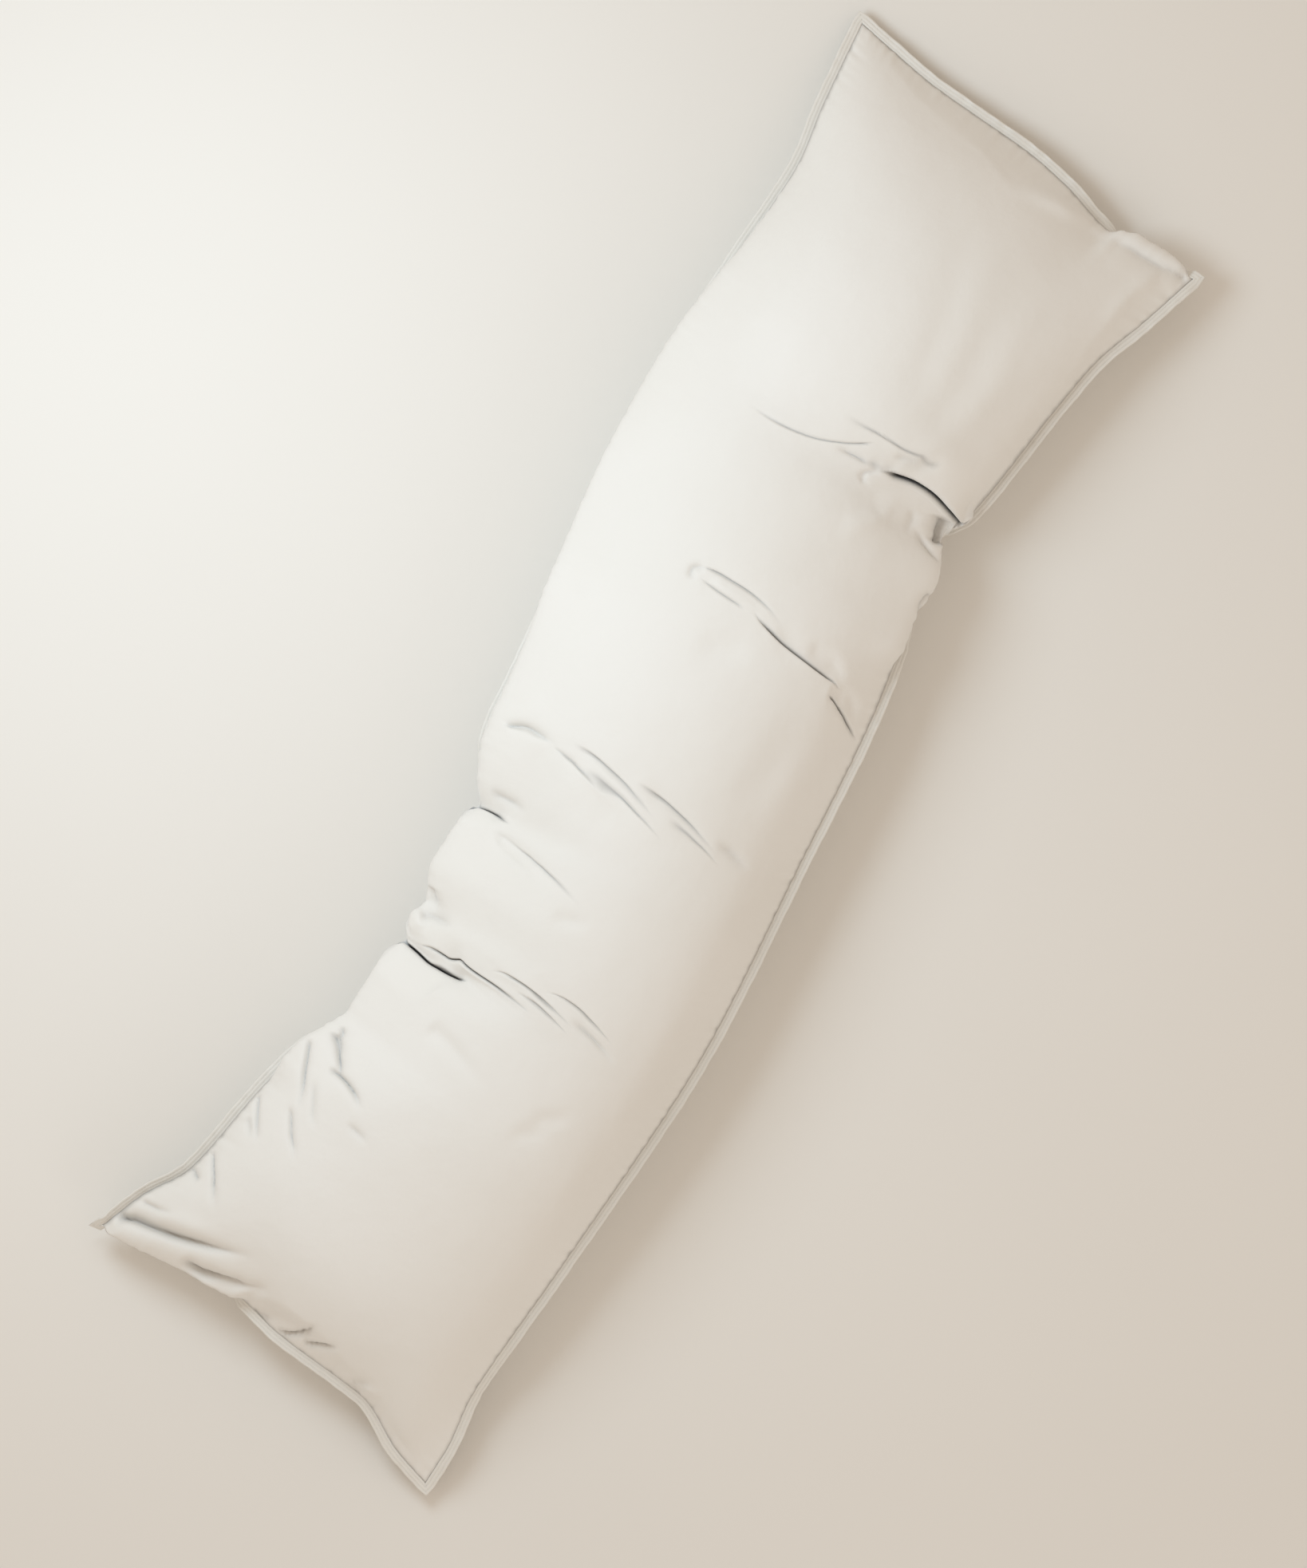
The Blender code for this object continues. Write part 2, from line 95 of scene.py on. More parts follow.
def smooth_through(keys, values, at):
    """A cubic curve through the values that never overshoots them."""
    keys, values = np.array(keys, float), np.array(values, float)
    spans = np.diff(keys)
    slopes = np.diff(values) / spans
    turns = np.zeros(len(keys))
    before, after = 2 * spans[1:] + spans[:-1], spans[1:] + 2 * spans[:-1]
    with np.errstate(divide="ignore", invalid="ignore"):
        mean = (before + after) / (before / slopes[:-1] + after / slopes[1:])
    turns[1:-1] = np.where(slopes[:-1] * slopes[1:] > 0, mean, 0.0)
    turns[0], turns[-1] = slopes[0], slopes[-1]
    i = np.clip(np.searchsorted(keys, at) - 1, 0, len(spans) - 1)
    q = (at - keys[i]) / spans[i]
    return (
        (1 + 2 * q) * (1 - q) ** 2 * values[i]
        + q * (1 - q) ** 2 * spans[i] * turns[i]
        + q * q * (3 - 2 * q) * values[i + 1]
        + q * q * (q - 1) * spans[i] * turns[i + 1]
    )


def along_seam(rows, at):
    flat, *axes = zip(*rows)
    return np.stack([smooth_through(flat, values, at) for values in axes], axis=-1)


def ease(q):
    q = np.clip(q, 0, 1)
    return q * q * (3 - 2 * q)


for name, rows in (("south", SOUTH_SEAM), ("north", NORTH_SEAM), ("west", WEST_SEAM), ("east", EAST_SEAM)):
    points = along_seam(rows, np.linspace(rows[0].flat, rows[-1].flat, 400))
    length = np.linalg.norm(np.diff(points, axis=0), axis=1).sum()
    print(f"{name} seam: cut {rows[-1].flat - rows[0].flat:.0f} mm, lies in {length:.0f} mm")

# %% [markdown]
# ## The filled shape
#
# Feathers push both panels out until the cloth is taut across, so the section is a full crown above
# the seam and a flattened belly under it. A lattice or a metaball could swell a slab like this, but a
# formula over the flat panel keeps every point tied to its place on the cloth, which the folds, the
# stitching and the weave all need. On some stretches the panel swells out past its seam. On others it
# is taut, and where it is pulled hardest it runs flat from a ridge down to the seam.

# %% How the filling lifts the panels
CROWN = [
    (-725, 120), (-560, 126), (-420, 142), (-300, 144), (-180, 150), (-40, 152),
    (120, 154), (280, 148), (360, 142), (450, 150), (600, 136), (725, 118),
]
NORTH_BULGE = [
    (-725, 0), (-520, 1), (-450, 8), (-400, 15), (-130, 15), (-70, 8),
    (-30, 3), (50, 4), (120, 9), (380, 8), (470, 2), (725, 0),
]
SOUTH_BULGE = [(-725, 0), (150, 0), (210, 4), (320, 8), (400, 4), (440, 0), (725, 0)]
WEST_BULGE = [(-200, 0), (36, 0), (60, 4), (85, 10), (120, 9), (150, 8), (185, 4), (200, 1)]
EAST_BULGE = [(-200, 0), (-190, 3), (-176, 9), (-160, 12), (-138, 13), (-120, 6), (-106, 0), (200, 0)]
SOUTH_TAUT = [(-725, 0.55), (100, 0.50), (190, 0), (725, 0)]
EAST_FACET = [
    (-200, 0), (-112, 0), (-96, 13), (-50, 28), (-12, 42), (20, 34), (40, 30), (80, 27), (120, 22), (148, 15),
    (172, 0), (200, 0),
]
WEST_FACET = [(-200, 0), (-150, 0), (-100, 14), (-60, 26), (-20, 34), (14, 34), (34, 14), (46, 0), (200, 0)]
SOUTH_FACET = [(-725, 0), (470, 0), (547, 8), (588, 13), (630, 22), (674, 31), (700, 24), (725, 0)]

# %% [markdown]
# The panels start as one sheet between the four seams. The crown and the belly swell away from it, the
# sides are pushed out past the seam, and last of all the taut stretches are laid straight.

# %% Swell the panels
BOW_REACH, FULL_FROM = 260, 235
ACROSS_POWER, CROWN_POWER, BELLY_POWER = 2.2, 0.62, 0.60
END_POWER, END_FULLNESS = 2.1, 0.72
BELLY_DEPTH = 96
TAUT_REACH = 30.0
BULGE_AT, BULGE_MORE, BULGE_START = 10.0, 9, 3
FULL_SOONER = 1.2
REST_SOFTNESS = 3.0


def read_off(table, at):
    """A table of pairs, read as a smooth curve."""
    return smooth_through(*zip(*table), at)


def rest_on_floor(z):
    """z where it is above the surface and 0 below it, with a soft turn between."""
    turn = (z + REST_SOFTNESS) ** 2 / (4 * REST_SOFTNESS)
    return np.where(z > REST_SOFTNESS, z, np.where(z < -REST_SOFTNESS, 0, turn))


def bulge(table, at, inward):
    """How far the panel is pushed out past its seam, this many mm inward of it."""
    reach, inward = read_off(table, at), inward / BULGE_AT
    most = np.where(reach > 0, (reach + BULGE_MORE) * ease(reach / BULGE_START), 0)
    return most * inward * np.exp(1 - inward)


def swollen(station, across, is_top):
    """Where a place on the flat panel lies in the pillow, swollen evenly."""
    share = across / PANEL_WIDTH + 0.5
    south, north = along_seam(SOUTH_SEAM, station), along_seam(NORTH_SEAM, station)
    sheet = south + (north - south) * share[..., None]
    for rows, end in ((WEST_SEAM, -HALF_LENGTH), (EAST_SEAM, HALF_LENGTH)):
        first, last = (np.array(row[1:], float) for row in (rows[0], rows[-1]))
        bowed = along_seam(rows, across) - (first + (last - first) * share[..., None])
        sheet += bowed * (np.clip(1 - np.abs(station - end) / BOW_REACH, 0, 1) ** 2)[..., None]
    round_across = np.clip(1 - np.abs(2 * share - 1) ** ACROSS_POWER, 0, 1)
    to_end = np.clip((HALF_LENGTH - np.abs(station)) / FULL_FROM, 0, 1)
    round_along = (1 - (1 - to_end) ** END_POWER) ** END_FULLNESS
    if not is_top:
        depth = BELLY_DEPTH * round_across**BELLY_POWER * round_along
        sheet[..., 2] = rest_on_floor(sheet[..., 2] - depth)
        return sheet
    lift = read_off(CROWN, station) - (south[..., 2] + north[..., 2]) / 2
    taut = read_off(SOUTH_TAUT, station) * np.exp(-(((across + HALF_WIDTH) / TAUT_REACH) ** 2))
    sheet[..., 2] += lift * (1 - taut) * round_across**CROWN_POWER * round_along
    side = (north - south)[..., :2]
    width = np.linalg.norm(side, axis=-1)
    side /= width[..., None]
    fading = np.minimum(round_along * FULL_SOONER, 1)
    for table, sign, inward in ((SOUTH_BULGE, -1, share), (NORTH_BULGE, 1, 1 - share)):
        sheet[..., :2] += side * (sign * bulge(table, station, inward * width) * fading)[..., None]
    for table, sign in ((WEST_BULGE, -1), (EAST_BULGE, 1)):
        sheet[..., 0] += sign * bulge(table, across, HALF_LENGTH - sign * station)
    return sheet


def facet(sheet, width, inward, seam, ridge):
    """The sheet, laid straight from the seam to a ridge this wide of it."""
    q = (inward / np.maximum(width, 0.1))[..., None]
    seam, ridge = swollen(*seam, True), swollen(*ridge, True)
    return np.where(q < 1, seam + (ridge - seam) * q, sheet)


def lying(station, across, is_top):
    """Where a place on the flat panel lies in the pillow, before its folds."""
    sheet = swollen(station, across, is_top)
    if not is_top:
        return sheet
    for table, end in ((EAST_FACET, HALF_LENGTH), (WEST_FACET, -HALF_LENGTH)):
        width, edge = read_off(table, across), np.full_like(station, end)
        ridge = edge - np.sign(end) * width
        sheet = facet(sheet, width, np.abs(end - station), (edge, across), (ridge, across))
    width, edge = read_off(SOUTH_FACET, station), np.full_like(across, -HALF_WIDTH)
    return facet(sheet, width, across - edge, (station, edge), (station, edge + width))


crown_line = lying(np.linspace(-700, 700, 200), np.zeros(200), True)
print(f"highest along the middle: {crown_line[:, 2].max():.0f} mm")

# %% [markdown]
# ## A net over each panel
#
# Both panels share one grid of places, closer together where the cloth is bunched and towards the
# seams. Rows and columns stay in order through every step, so a later step can ask for a neighbour, a
# slope or a finer net without searching the mesh.

# %% The net
FINE_ZONES = [
    (-690, 50, 1.0), (-480, 110, 1.0), (-265, 45, 2.2), (-130, 30, 0.9), (-45, 38, 1.7), (155, 42, 1.5),
    (345, 55, 2.2), (695, 45, 0.8),
]
COLUMNS, ROWS = 290, 66
EVENNESS, LEAST_DENSITY = 0.65, 0.7


def net_of(columns, rows):
    """Stations and distances across for a net of places, as two grids."""
    fine = np.linspace(-HALF_LENGTH, HALF_LENGTH, 4001)
    density = np.full_like(fine, LEAST_DENSITY)
    for station, half_length, closeness in FINE_ZONES:
        density += closeness * np.exp(-(((fine - station) / half_length) ** 2))
    total = np.concatenate([[0], np.cumsum((density[1:] + density[:-1]) / 2)])
    stations = np.interp(np.linspace(0, 1, columns + 1), total / total[-1], fine)
    q = np.linspace(0, 1, rows + 1)
    crowded = EVENNESS * q + (1 - EVENNESS) * (1 - np.cos(np.pi * q)) / 2
    return np.meshgrid(stations, (crowded - 0.5) * PANEL_WIDTH)


station, across = net_of(COLUMNS, ROWS)
top, belly = lying(station, across, True), lying(station, across, False)
print("net:", top.shape[:2], "spacing from", round(float(np.diff(station[0]).min()), 1), "mm")

# %% [markdown]
# ## Placing folds
#
# A crease in a filled panel is a valley with rounded banks. Three numbers shape it: its width, how far
# it is lifted or sunk, and how far its banks are pinched together over it. A deep slit is only a valley
# whose banks have closed. Each fold is drawn where it is seen from above, and then found on the flat
# panel, so that it follows the cloth round the pillow's side.

# %% Find a fold's place
Fold = namedtuple(
    "Fold", "x0 y0 x1 y1 x2 y2 width height pinch fade_in fade_out lean", defaults=(0.5, 0)
)
LINE_STEPS = 21
UPPER_FIRST = 0.05


def fold_line(fold, points, station, across):
    """The line on the flat panel that is seen from above as a bent line through the fold's places."""
    start, past, end = np.array(fold[:6], float).reshape(3, 2)
    handle = 2 * past - (start + end) / 2
    q = np.linspace(0, 1, LINE_STEPS)[:, None]
    line = []
    for spot in (1 - q) ** 2 * start + 2 * q * (1 - q) * handle + q * q * end:
        seen = np.argmin(np.linalg.norm(points[..., :2] - spot, axis=-1) - UPPER_FIRST * points[..., 2])
        line.append((station.flat[seen], across.flat[seen]))
    line = np.array(line)
    for _ in range(4):
        line[1:-1] = (line[:-2] + 2 * line[1:-1] + line[2:]) / 4
    return line


def off_line(line, station, across):
    """Distance from a line, less than 0 on its left, the share of the way along it, and the way right."""
    best, found = np.full(station.shape, np.inf), np.zeros((4, *station.shape))
    for i, (a, b) in enumerate(zip(line, line[1:])):
        run = b - a
        length = np.hypot(*run) + 1e-9
        q = np.clip(((station - a[0]) * run[0] + (across - a[1]) * run[1]) / length**2, 0, 1)
        dx, dy = station - a[0] - q * run[0], across - a[1] - q * run[1]
        distance = np.hypot(dx, dy)
        signed = distance * np.sign(dx * run[1] - dy * run[0])
        here = np.broadcast_arrays(signed, (i + q) / (len(line) - 1), run[1] / length, -run[0] / length)
        found = np.where(distance < best, here, found)
        best = np.minimum(distance, best)
    return found


def unit(vectors):
    return vectors / np.linalg.norm(vectors, axis=-1)[..., None]


def slopes_of(points, station, across):
    """How a point moves for each mm along the cloth and each mm across it, and the way out of it."""
    column, row = np.gradient(points, axis=1), np.gradient(points, axis=0)
    along = column / np.gradient(station, axis=1)[..., None]
    drift = along * np.gradient(station, axis=0)[..., None]
    sideways = (row - drift) / np.gradient(across, axis=0)[..., None]
    out = np.cross(along, sideways)
    return along, sideways, out / (np.linalg.norm(out, axis=-1)[..., None] + 1e-9)


def around_line(line, station, across, margin):
    """The part of the grid that holds a line, with a margin round it."""
    low, high = line.min(axis=0) - margin, line.max(axis=0) + margin
    columns = np.searchsorted(station.mean(axis=0), (low[0], high[0]))
    rows = np.searchsorted(across[:, 0], (low[1], high[1]))
    return slice(*rows), slice(*columns)


def softened(field, rounds):
    """Evens a grid out over its neighbours."""
    for _ in range(rounds):
        field = field.copy()
        field[:, 1:-1] = (field[:, :-2] + 2 * field[:, 1:-1] + field[:, 2:]) / 4
        field[1:-1] = (field[:-2] + 2 * field[1:-1] + field[2:]) / 4
    return field


def from_seam(station, across):
    """Distance on the flat panel to the nearest seam."""
    return np.minimum(HALF_WIDTH - np.abs(across), HALF_LENGTH - np.abs(station))

# %% [markdown]
# The cloth is moved by its own slopes: out of its surface to lift or sink it, and across the line to
# pinch the banks together. A fold fades in and out along its line, and stops short of the sewn seam.

# %% Fold the cloth
FOLD_REACH, FOLD_MARGIN = 4, 6
SHARP, SHARP_POWER = 6.0, 1.4
SHADE_OF_CREASE = 0.022
BANK, PINCH_PEAK, LEAN_AT, UPWARD = 1.6, 1.65, 0.7, 0.8


def fold_cloth(points, station, across, folds, seam_reach, calm, painted_fold_shade):
    """Lifts, sinks and pinches the cloth along each fold, and notes in deep how dark the crease of a sharp
    one is painted, by how far it sinks.

    The slopes are those of the calm cloth.
    """
    along_way, across_way, out = (softened(d, 6) for d in slopes_of(calm, station, across))
    lift = unit(out + [0, 0, UPWARD])
    free = ease(from_seam(station, across) / seam_reach)
    moved = points.copy()
    for fold in folds:
        line = fold_line(fold, points, station, across)
        part = around_line(line, station, across, FOLD_REACH * fold.width + FOLD_MARGIN)
        signed, along, right_x, right_y = off_line(line, station[part], across[part])
        u = np.abs(signed) / fold.width
        strength = ease(along / fold.fade_in) * ease((1 - along) / fold.fade_out) * free[part]
        profile = np.exp(-(u**SHARP_POWER)) if fold.width < SHARP else np.exp(-(u**2))
        moved[part] += lift[part] * (fold.height * profile * strength)[..., None]
        # painted shade: the cloth in a sharp crease is painted darker the further it sinks
        if fold.width < SHARP:
            painted_fold_shade[part] = np.maximum(painted_fold_shade[part], -SHADE_OF_CREASE * fold.height * profile * strength)
        right = along_way[part] * right_x[..., None] + across_way[part] * right_y[..., None]
        v = u / BANK
        slide = fold.lean * np.exp(-((u - LEAN_AT) ** 2) * 2)
        slide -= np.sign(signed) * fold.pinch * PINCH_PEAK * v * np.exp(-(v**2) / 2)
        moved[part] += right * (slide * strength)[..., None]
    return moved

# %% [markdown]
# ## The main folds
#
# The filling has slid, so the pillow is bunched into a deep slit on its north side and into another
# on its south side, where the lobe at the pillow's head leans over it. The others are the creases
# across the middle, and the folds that run out of two corners.

# %% The main folds of the top panel
MAIN_FOLDS = rows_of(Fold, [
    # the trough of the deep slit on the north side, and the pleats beside it
    (-269, 96, -270, 40, -261, -60, 22, -6, 0, 0.15),
    (-256, 70, -250, 20, -254, -60, 12, -4, 1, 0.25),
    (-268, 60, -265, 12, -262, -50, 9, -4, 1, 0.3),
    (-246, 110, -245, 100, -244, 84, 9, 3, 0, 0.02),
    (-223, 104, -226, 94, -230, 78, 8, -6, 1, 0.02),
    (-240, -20, -238, -70, -250, -120, 14, -2.5, 0.5, 0.3),
    (-241, 100, -235, 86, -237, 66, 9, -3.5, 1, 0.2),
    # the small notch beside it, and the soft step below it
    (-126, 112, -122, 92, -125, 74, 14, -5, 2, 0.02, 0.4),
    (-140, 82, -137, 45, -155, -26, 13, -2.5, 0.5, 0.25, 0.5, 2),
    # the creases across the middle
    (-50, 122, -38, 98, -46, 60, 8, -3, 1, 0.15, 0.5, 1),
    (-42, 70, -42, 20, -56, -40, 15, -3, 1, 0.25, 0.45),
    (-30, -10, -34, -60, -46, -112, 12, -3, 1, 0.25, 0.45),
    # the upside-down U and the pleat that runs from it to the south seam
    (167, 46, 168, 10, 165, -30, 14, -2, 0.5, 0.25, 0.4),
    (158, -40, 159, -84, 154, -126, 9, -4, 1, 0.2, 0.25, 2),
    (139, -114, 138, -132, 130, -152, 8, -4, 1, 0.2, 0.3, 1),
    # the trough of the deep slit on the south side
    (322, -130, 345, -70, 332, -20, 22, -5, 0, 0.02, 0.6),
    (352, 10, 354, -40, 362, -84, 15, -2, 0, 0.3, 0.4),
    # the folds that run out of the north-west corner, over the hidden end of the seam
    (-641, 188, -628, 130, -604, 38, 8, 5, -1.5, 0.15),
    (-626, 192, -615, 124, -589, 48, 8, -3, 1, 0.12, 0.45),
    (-610, 164, -604, 130, -590, 84, 12, 4, 0, 0.3),
    (-636, 112, -628, 68, -607, 20, 8, -5, 1, 0.2),
    (-645, -60, -643, -92, -637, -118, 6, 3, 0, 0.25, 0.4),
    (-634, 34, -628, -6, -628, -58, 9, -5, 0, 0.25),
    (-664, -108, -670, -140, -685, -174, 8, -4, 0, 0.3, 0.3),
    # the slope down to the seam at the head end, its upper edge, and the roll at the south-east
    (560, -147, 604, -153, 634, -170, 9, 2, 0, 0.4, 0.3),
    (649, -188, 648, -150, 644, -112, 7, 4, 0, 0.15, 0.3),
    (646, -112, 640, -60, 628, 2, 8, 6, 0, 0.1),
    (641, -186, 640, -140, 636, -96, 7, -3, 0, 0.2, 0.4),
])
top = fold_cloth(top, station, across, MAIN_FOLDS, 13, top, np.zeros(station.shape))
print("main folds:", len(MAIN_FOLDS))

# %% [markdown]
# ## Letting the cloth settle
#
# Folds placed one by one look drawn until the cloth has answered them. Blender's Cloth does that here. The
# panel rests flat in its eyes, which is what a rest shape key says, so wherever the lying shape is
# shorter than the cut cloth, it has to buckle. The feathers are a light pressure, and a weak pull of
# each point to its place keeps the pillow's form. The seam is pinned. Buckles of the size of the net's
# own steps are only noise, so they are evened out of the result.

# %% Simulate the top panel
SETTLE_FRAMES = 24
SETTLE_CAP = 9.0
PINNED, HELD_WEAKLY = 1.0, 0.05
CUT_HEIGHT = 150.0


def new_object(name, data):
    made = bpy.data.objects.new(name, data)
    bpy.context.scene.collection.objects.link(made)
    return made


def quads_of(shape):
    rows, columns = shape
    at = np.arange(rows * columns).reshape(rows, columns)
    return np.stack([at[:-1, :-1], at[:-1, 1:], at[1:, 1:], at[1:, :-1]], axis=-1).reshape(-1, 4)


def settled(points, station, across):
    """The panel after the cloth simulation, with no point moved further than the cap."""
    shape = station.shape
    mesh = bpy.data.meshes.new("settling_panel")
    mesh.from_pydata(points.reshape(-1, 3) * MM, [], quads_of(shape).tolist())
    panel = new_object("settling_panel", mesh)
    panel.shape_key_add(name="Basis")
    flat = panel.shape_key_add(name="cut flat")
    cut = np.stack([station, across, np.full(shape, CUT_HEIGHT)], axis=-1) * MM
    flat.data.foreach_set("co", cut.ravel())
    hold = panel.vertex_groups.new(name="hold")
    edge = np.zeros(shape, bool)
    edge[[0, -1]] = edge[:, [0, -1]] = True
    for i, at_edge in enumerate(edge.ravel()):
        hold.add([i], PINNED if at_edge else HELD_WEAKLY, "REPLACE")
    cloth = panel.modifiers.new("cotton", "CLOTH")
    settings = cloth.settings
    settings.quality = 8
    settings.mass = 0.02
    settings.tension_stiffness = settings.compression_stiffness = 12
    settings.shear_stiffness = 4
    settings.bending_stiffness = 0.5
    settings.tension_damping = settings.compression_damping = 4
    settings.air_damping = 1
    settings.vertex_group_mass = "hold"
    settings.pin_stiffness = 0.2
    settings.rest_shape_key = flat
    settings.use_pressure = True
    settings.uniform_pressure_force = 0.6
    settings.effector_weights.gravity = 0
    cloth.collision_settings.use_collision = False
    cloth.point_cache.frame_start, cloth.point_cache.frame_end = 1, SETTLE_FRAMES
    for number in range(1, SETTLE_FRAMES + 1):
        bpy.context.scene.frame_set(number)
    graph = bpy.context.evaluated_depsgraph_get()
    after = np.empty(points.size)
    panel.evaluated_get(graph).to_mesh().vertices.foreach_get("co", after)
    bpy.context.scene.frame_set(1)
    bpy.data.objects.remove(panel)
    moved = softened(after.reshape(points.shape) / MM - points, 3)
    size = np.linalg.norm(moved, axis=-1)[..., None]
    print(f"settling moved the cloth {size.mean():.1f} mm on average and {size.max():.1f} mm at most")
    return points + moved * SETTLE_CAP / (SETTLE_CAP + size)


top = settled(top, station, across)

# %% [markdown]
# ## A finer net
#
# Small creases are narrower than the simulated net's steps. Each grid is doubled with the same smooth
# curve through its rows and columns, which is what a subdivision surface does, but keeps the order.
# The belly is hardly seen, so it stays coarse, and only its seam takes on the finer steps.

# %% Double the net
def doubled(grid):
    """The grid with a new row and column between every two, on a smooth curve through them."""
    for axis in (0, 1):
        g = np.moveaxis(grid, axis, 0)
        wide = np.concatenate([2 * g[:1] - g[1:2], g, 2 * g[-1:] - g[-2:-1]])
        middle = (9 * (wide[1:-2] + wide[2:-1]) - wide[:-3] - wide[3:]) / 16
        fine = np.empty((2 * len(g) - 1, *g.shape[1:]))
        fine[::2], fine[1::2] = g, middle
        grid = np.moveaxis(fine, 0, axis)
    return grid


low_station, low_across = station, across
station, across, top = doubled(station), doubled(across), doubled(top)
print("fine net:", top.shape[:2], "spacing from", round(float(np.diff(station[0]).min()), 1), "mm")

# %% [markdown]
# ## Tucks
#
# Where there is most cloth to spare, it doesn't bend into a valley but closes over itself, and a narrow
# dark line is all that is seen of it. Each tuck is a slot with upright walls and two rounded lips, and
# the cloth in its walls is drawn in from both sides. A mesh only shows so thin a thing cleanly if its
# edges run along it, so the net's columns are slid onto the tucks first, as a draughtsman would turn
# the paper.

# %% Slide the net onto lines
Tuck = namedtuple(
    "Tuck", "x0 y0 x1 y1 x2 y2 depth gap west_lip east_lip fade_in fade_out lean", defaults=(0.5, 0)
)
NEAR, STEPS_PER_MM, MOST_STEPS = 30, 0.3, 4
AT_SEAM, ON_LINE, BETWEEN, LETTING_GO = 1e4, 50, 3, 7
ROOM_LEFT, ROUNDS = 0.45, 30


def columns_for(lines, station, across, wanted):
    """Adds one column of the net for each line to wanted: its places, and how far each row is beyond it."""
    rows = across[:, 0]
    for line in lines:
        line = line[np.argsort(line[:, 1])]
        at = np.interp(rows, line[:, 1], line[:, 0])
        beyond = np.maximum(line[0, 1] - rows, rows - line[-1, 1])
        first, last = 0, station.shape[1]
        for column, (place, other) in wanted.items():
            both = (beyond < NEAR) & (other < NEAR)
            if both.any():
                gap = (at - place)[both].mean()
                steps = int(np.clip(STEPS_PER_MM * abs(gap), 1, MOST_STEPS))
                first = max(first, column + steps) if gap > 0 else first
                last = last if gap > 0 else min(last, column - steps + 1)
        off = np.abs(station[beyond < 0].mean(axis=0) - at[beyond < 0].mean())
        off[list(wanted)] = np.inf
        wanted[int(first + np.argmin(off[first : max(last, first + 1)]))] = at, beyond
    return wanted


def drawn_along(lines, fields, station, across, held):
    """The stations and fields of a net whose places are slid along their rows, one column on each line.

    held has the columns of earlier lines. The places between the lines follow as if springs joined
    them, and keep some room between them.
    """
    rows = len(station)
    wanted = columns_for(lines, station, across, {c: (station[:, c], far) for c, (_, far) in held.items()})
    columns = sorted(wanted)
    slid = station.copy()
    for r in range(rows):
        keys = np.concatenate([[station[r, 0]], station[r, columns], [station[r, -1]]])
        springs = np.diag(1 / np.diff(keys), 1)
        springs = springs + springs.T
        on_lines = [ON_LINE * np.exp(-max(wanted[c][1][r], 0) / LETTING_GO) for c in columns]
        hold = np.array([AT_SEAM] + on_lines + [AT_SEAM])
        pull = np.array([0] + [wanted[c][0][r] - station[r, c] for c in columns] + [0]) * hold
        placed = keys + np.linalg.solve(np.diag(springs.sum(axis=1) + hold) - springs, pull)
        firm = hold + BETWEEN
        for i in list(range(len(keys) - 1)) * ROUNDS:
            short = ROOM_LEFT * (keys[i + 1] - keys[i]) - (placed[i + 1] - placed[i])
            if short > 0:
                placed[i] -= short * firm[i + 1] / (firm[i] + firm[i + 1])
                placed[i + 1] += short * firm[i] / (firm[i] + firm[i + 1])
        slid[r] = np.interp(station[r], keys, placed)
    again = [[np.interp(slid[r], station[r], values) for values in fields[r].T] for r in range(rows)]
    print("least step along a row:", round(float(np.diff(slid, axis=1).min()), 2), "mm")
    return slid, np.swapaxes(np.array(again), 1, 2), wanted

# %% [markdown]
# The way into a slot is measured along the cloth, so the weave hardly stretches: cloth beside the line
# goes over the lip and down the wall, and the cloth further out follows it for a short way. How deep
# the cloth lies in a tuck is kept for the material, which paints the cloth there darker: painted shade.

# %% Draw the cloth into slots
TUCK_REACH, TUCK_MARGIN = 8, 20
WIDEST_GAP, WIDEST_LIP = 0.3, 0.8
FULL_SHADE = 9
FOLLOWS, FOLLOWS_AT_LEAST = 1.3, 4
UPRIGHT, SEAM_ROOM, TOO_SHALLOW = 0.6, 8, 0.05
painted_fold_shade, calm = np.zeros(station.shape), top


def slot(s, depth, gap, lip):
    """For places s mm along the cloth from a slot's bottom, the way aside and the way down.

    Then half the width of its mouth, and the length of cloth from its bottom to the end of its lip.
    """
    gap, lip = min(gap, WIDEST_GAP * depth), min(lip, WIDEST_LIP * depth)
    wall = depth - lip
    turn = np.clip((s - wall) / lip, 0, np.pi / 2)
    aside = np.minimum(gap, s) + lip * (1 - np.cos(turn))
    down = np.where(s < wall, s - depth, lip * (np.sin(turn) - 1))
    return aside, down, gap + lip, wall + lip * np.pi / 2


def beside_line(line, rows):
    """Where a line across the panel crosses each row, its slant there and the share of the way along it."""
    first = 1 if line[0, 1] < line[-1, 1] else -1
    line = line[::first]
    at, ahead, behind = (np.interp(rows + step, line[:, 1], line[:, 0]) for step in (0, 2, -2))
    along = (rows - line[0, 1]) / (line[-1, 1] - line[0, 1])
    return at, (ahead - behind) / 4, along if first == 1 else 1 - along


def walked(rate, station, at):
    """The way along each row from its place at, with a rate of mm per mm of station."""
    steps = (rate[:, 1:] + rate[:, :-1]) / 2 * np.diff(station, axis=1)
    reached = np.pad(np.cumsum(steps, axis=1), ((0, 0), (1, 0)))
    return reached - np.array([[np.interp(*row)] for row in zip(at, station, reached)])


def at_length(values, lengths, where):
    """Values along a line, at these lengths from its start."""
    return np.stack([np.interp(where, lengths, values[:, axis]) for axis in range(3)], axis=-1)


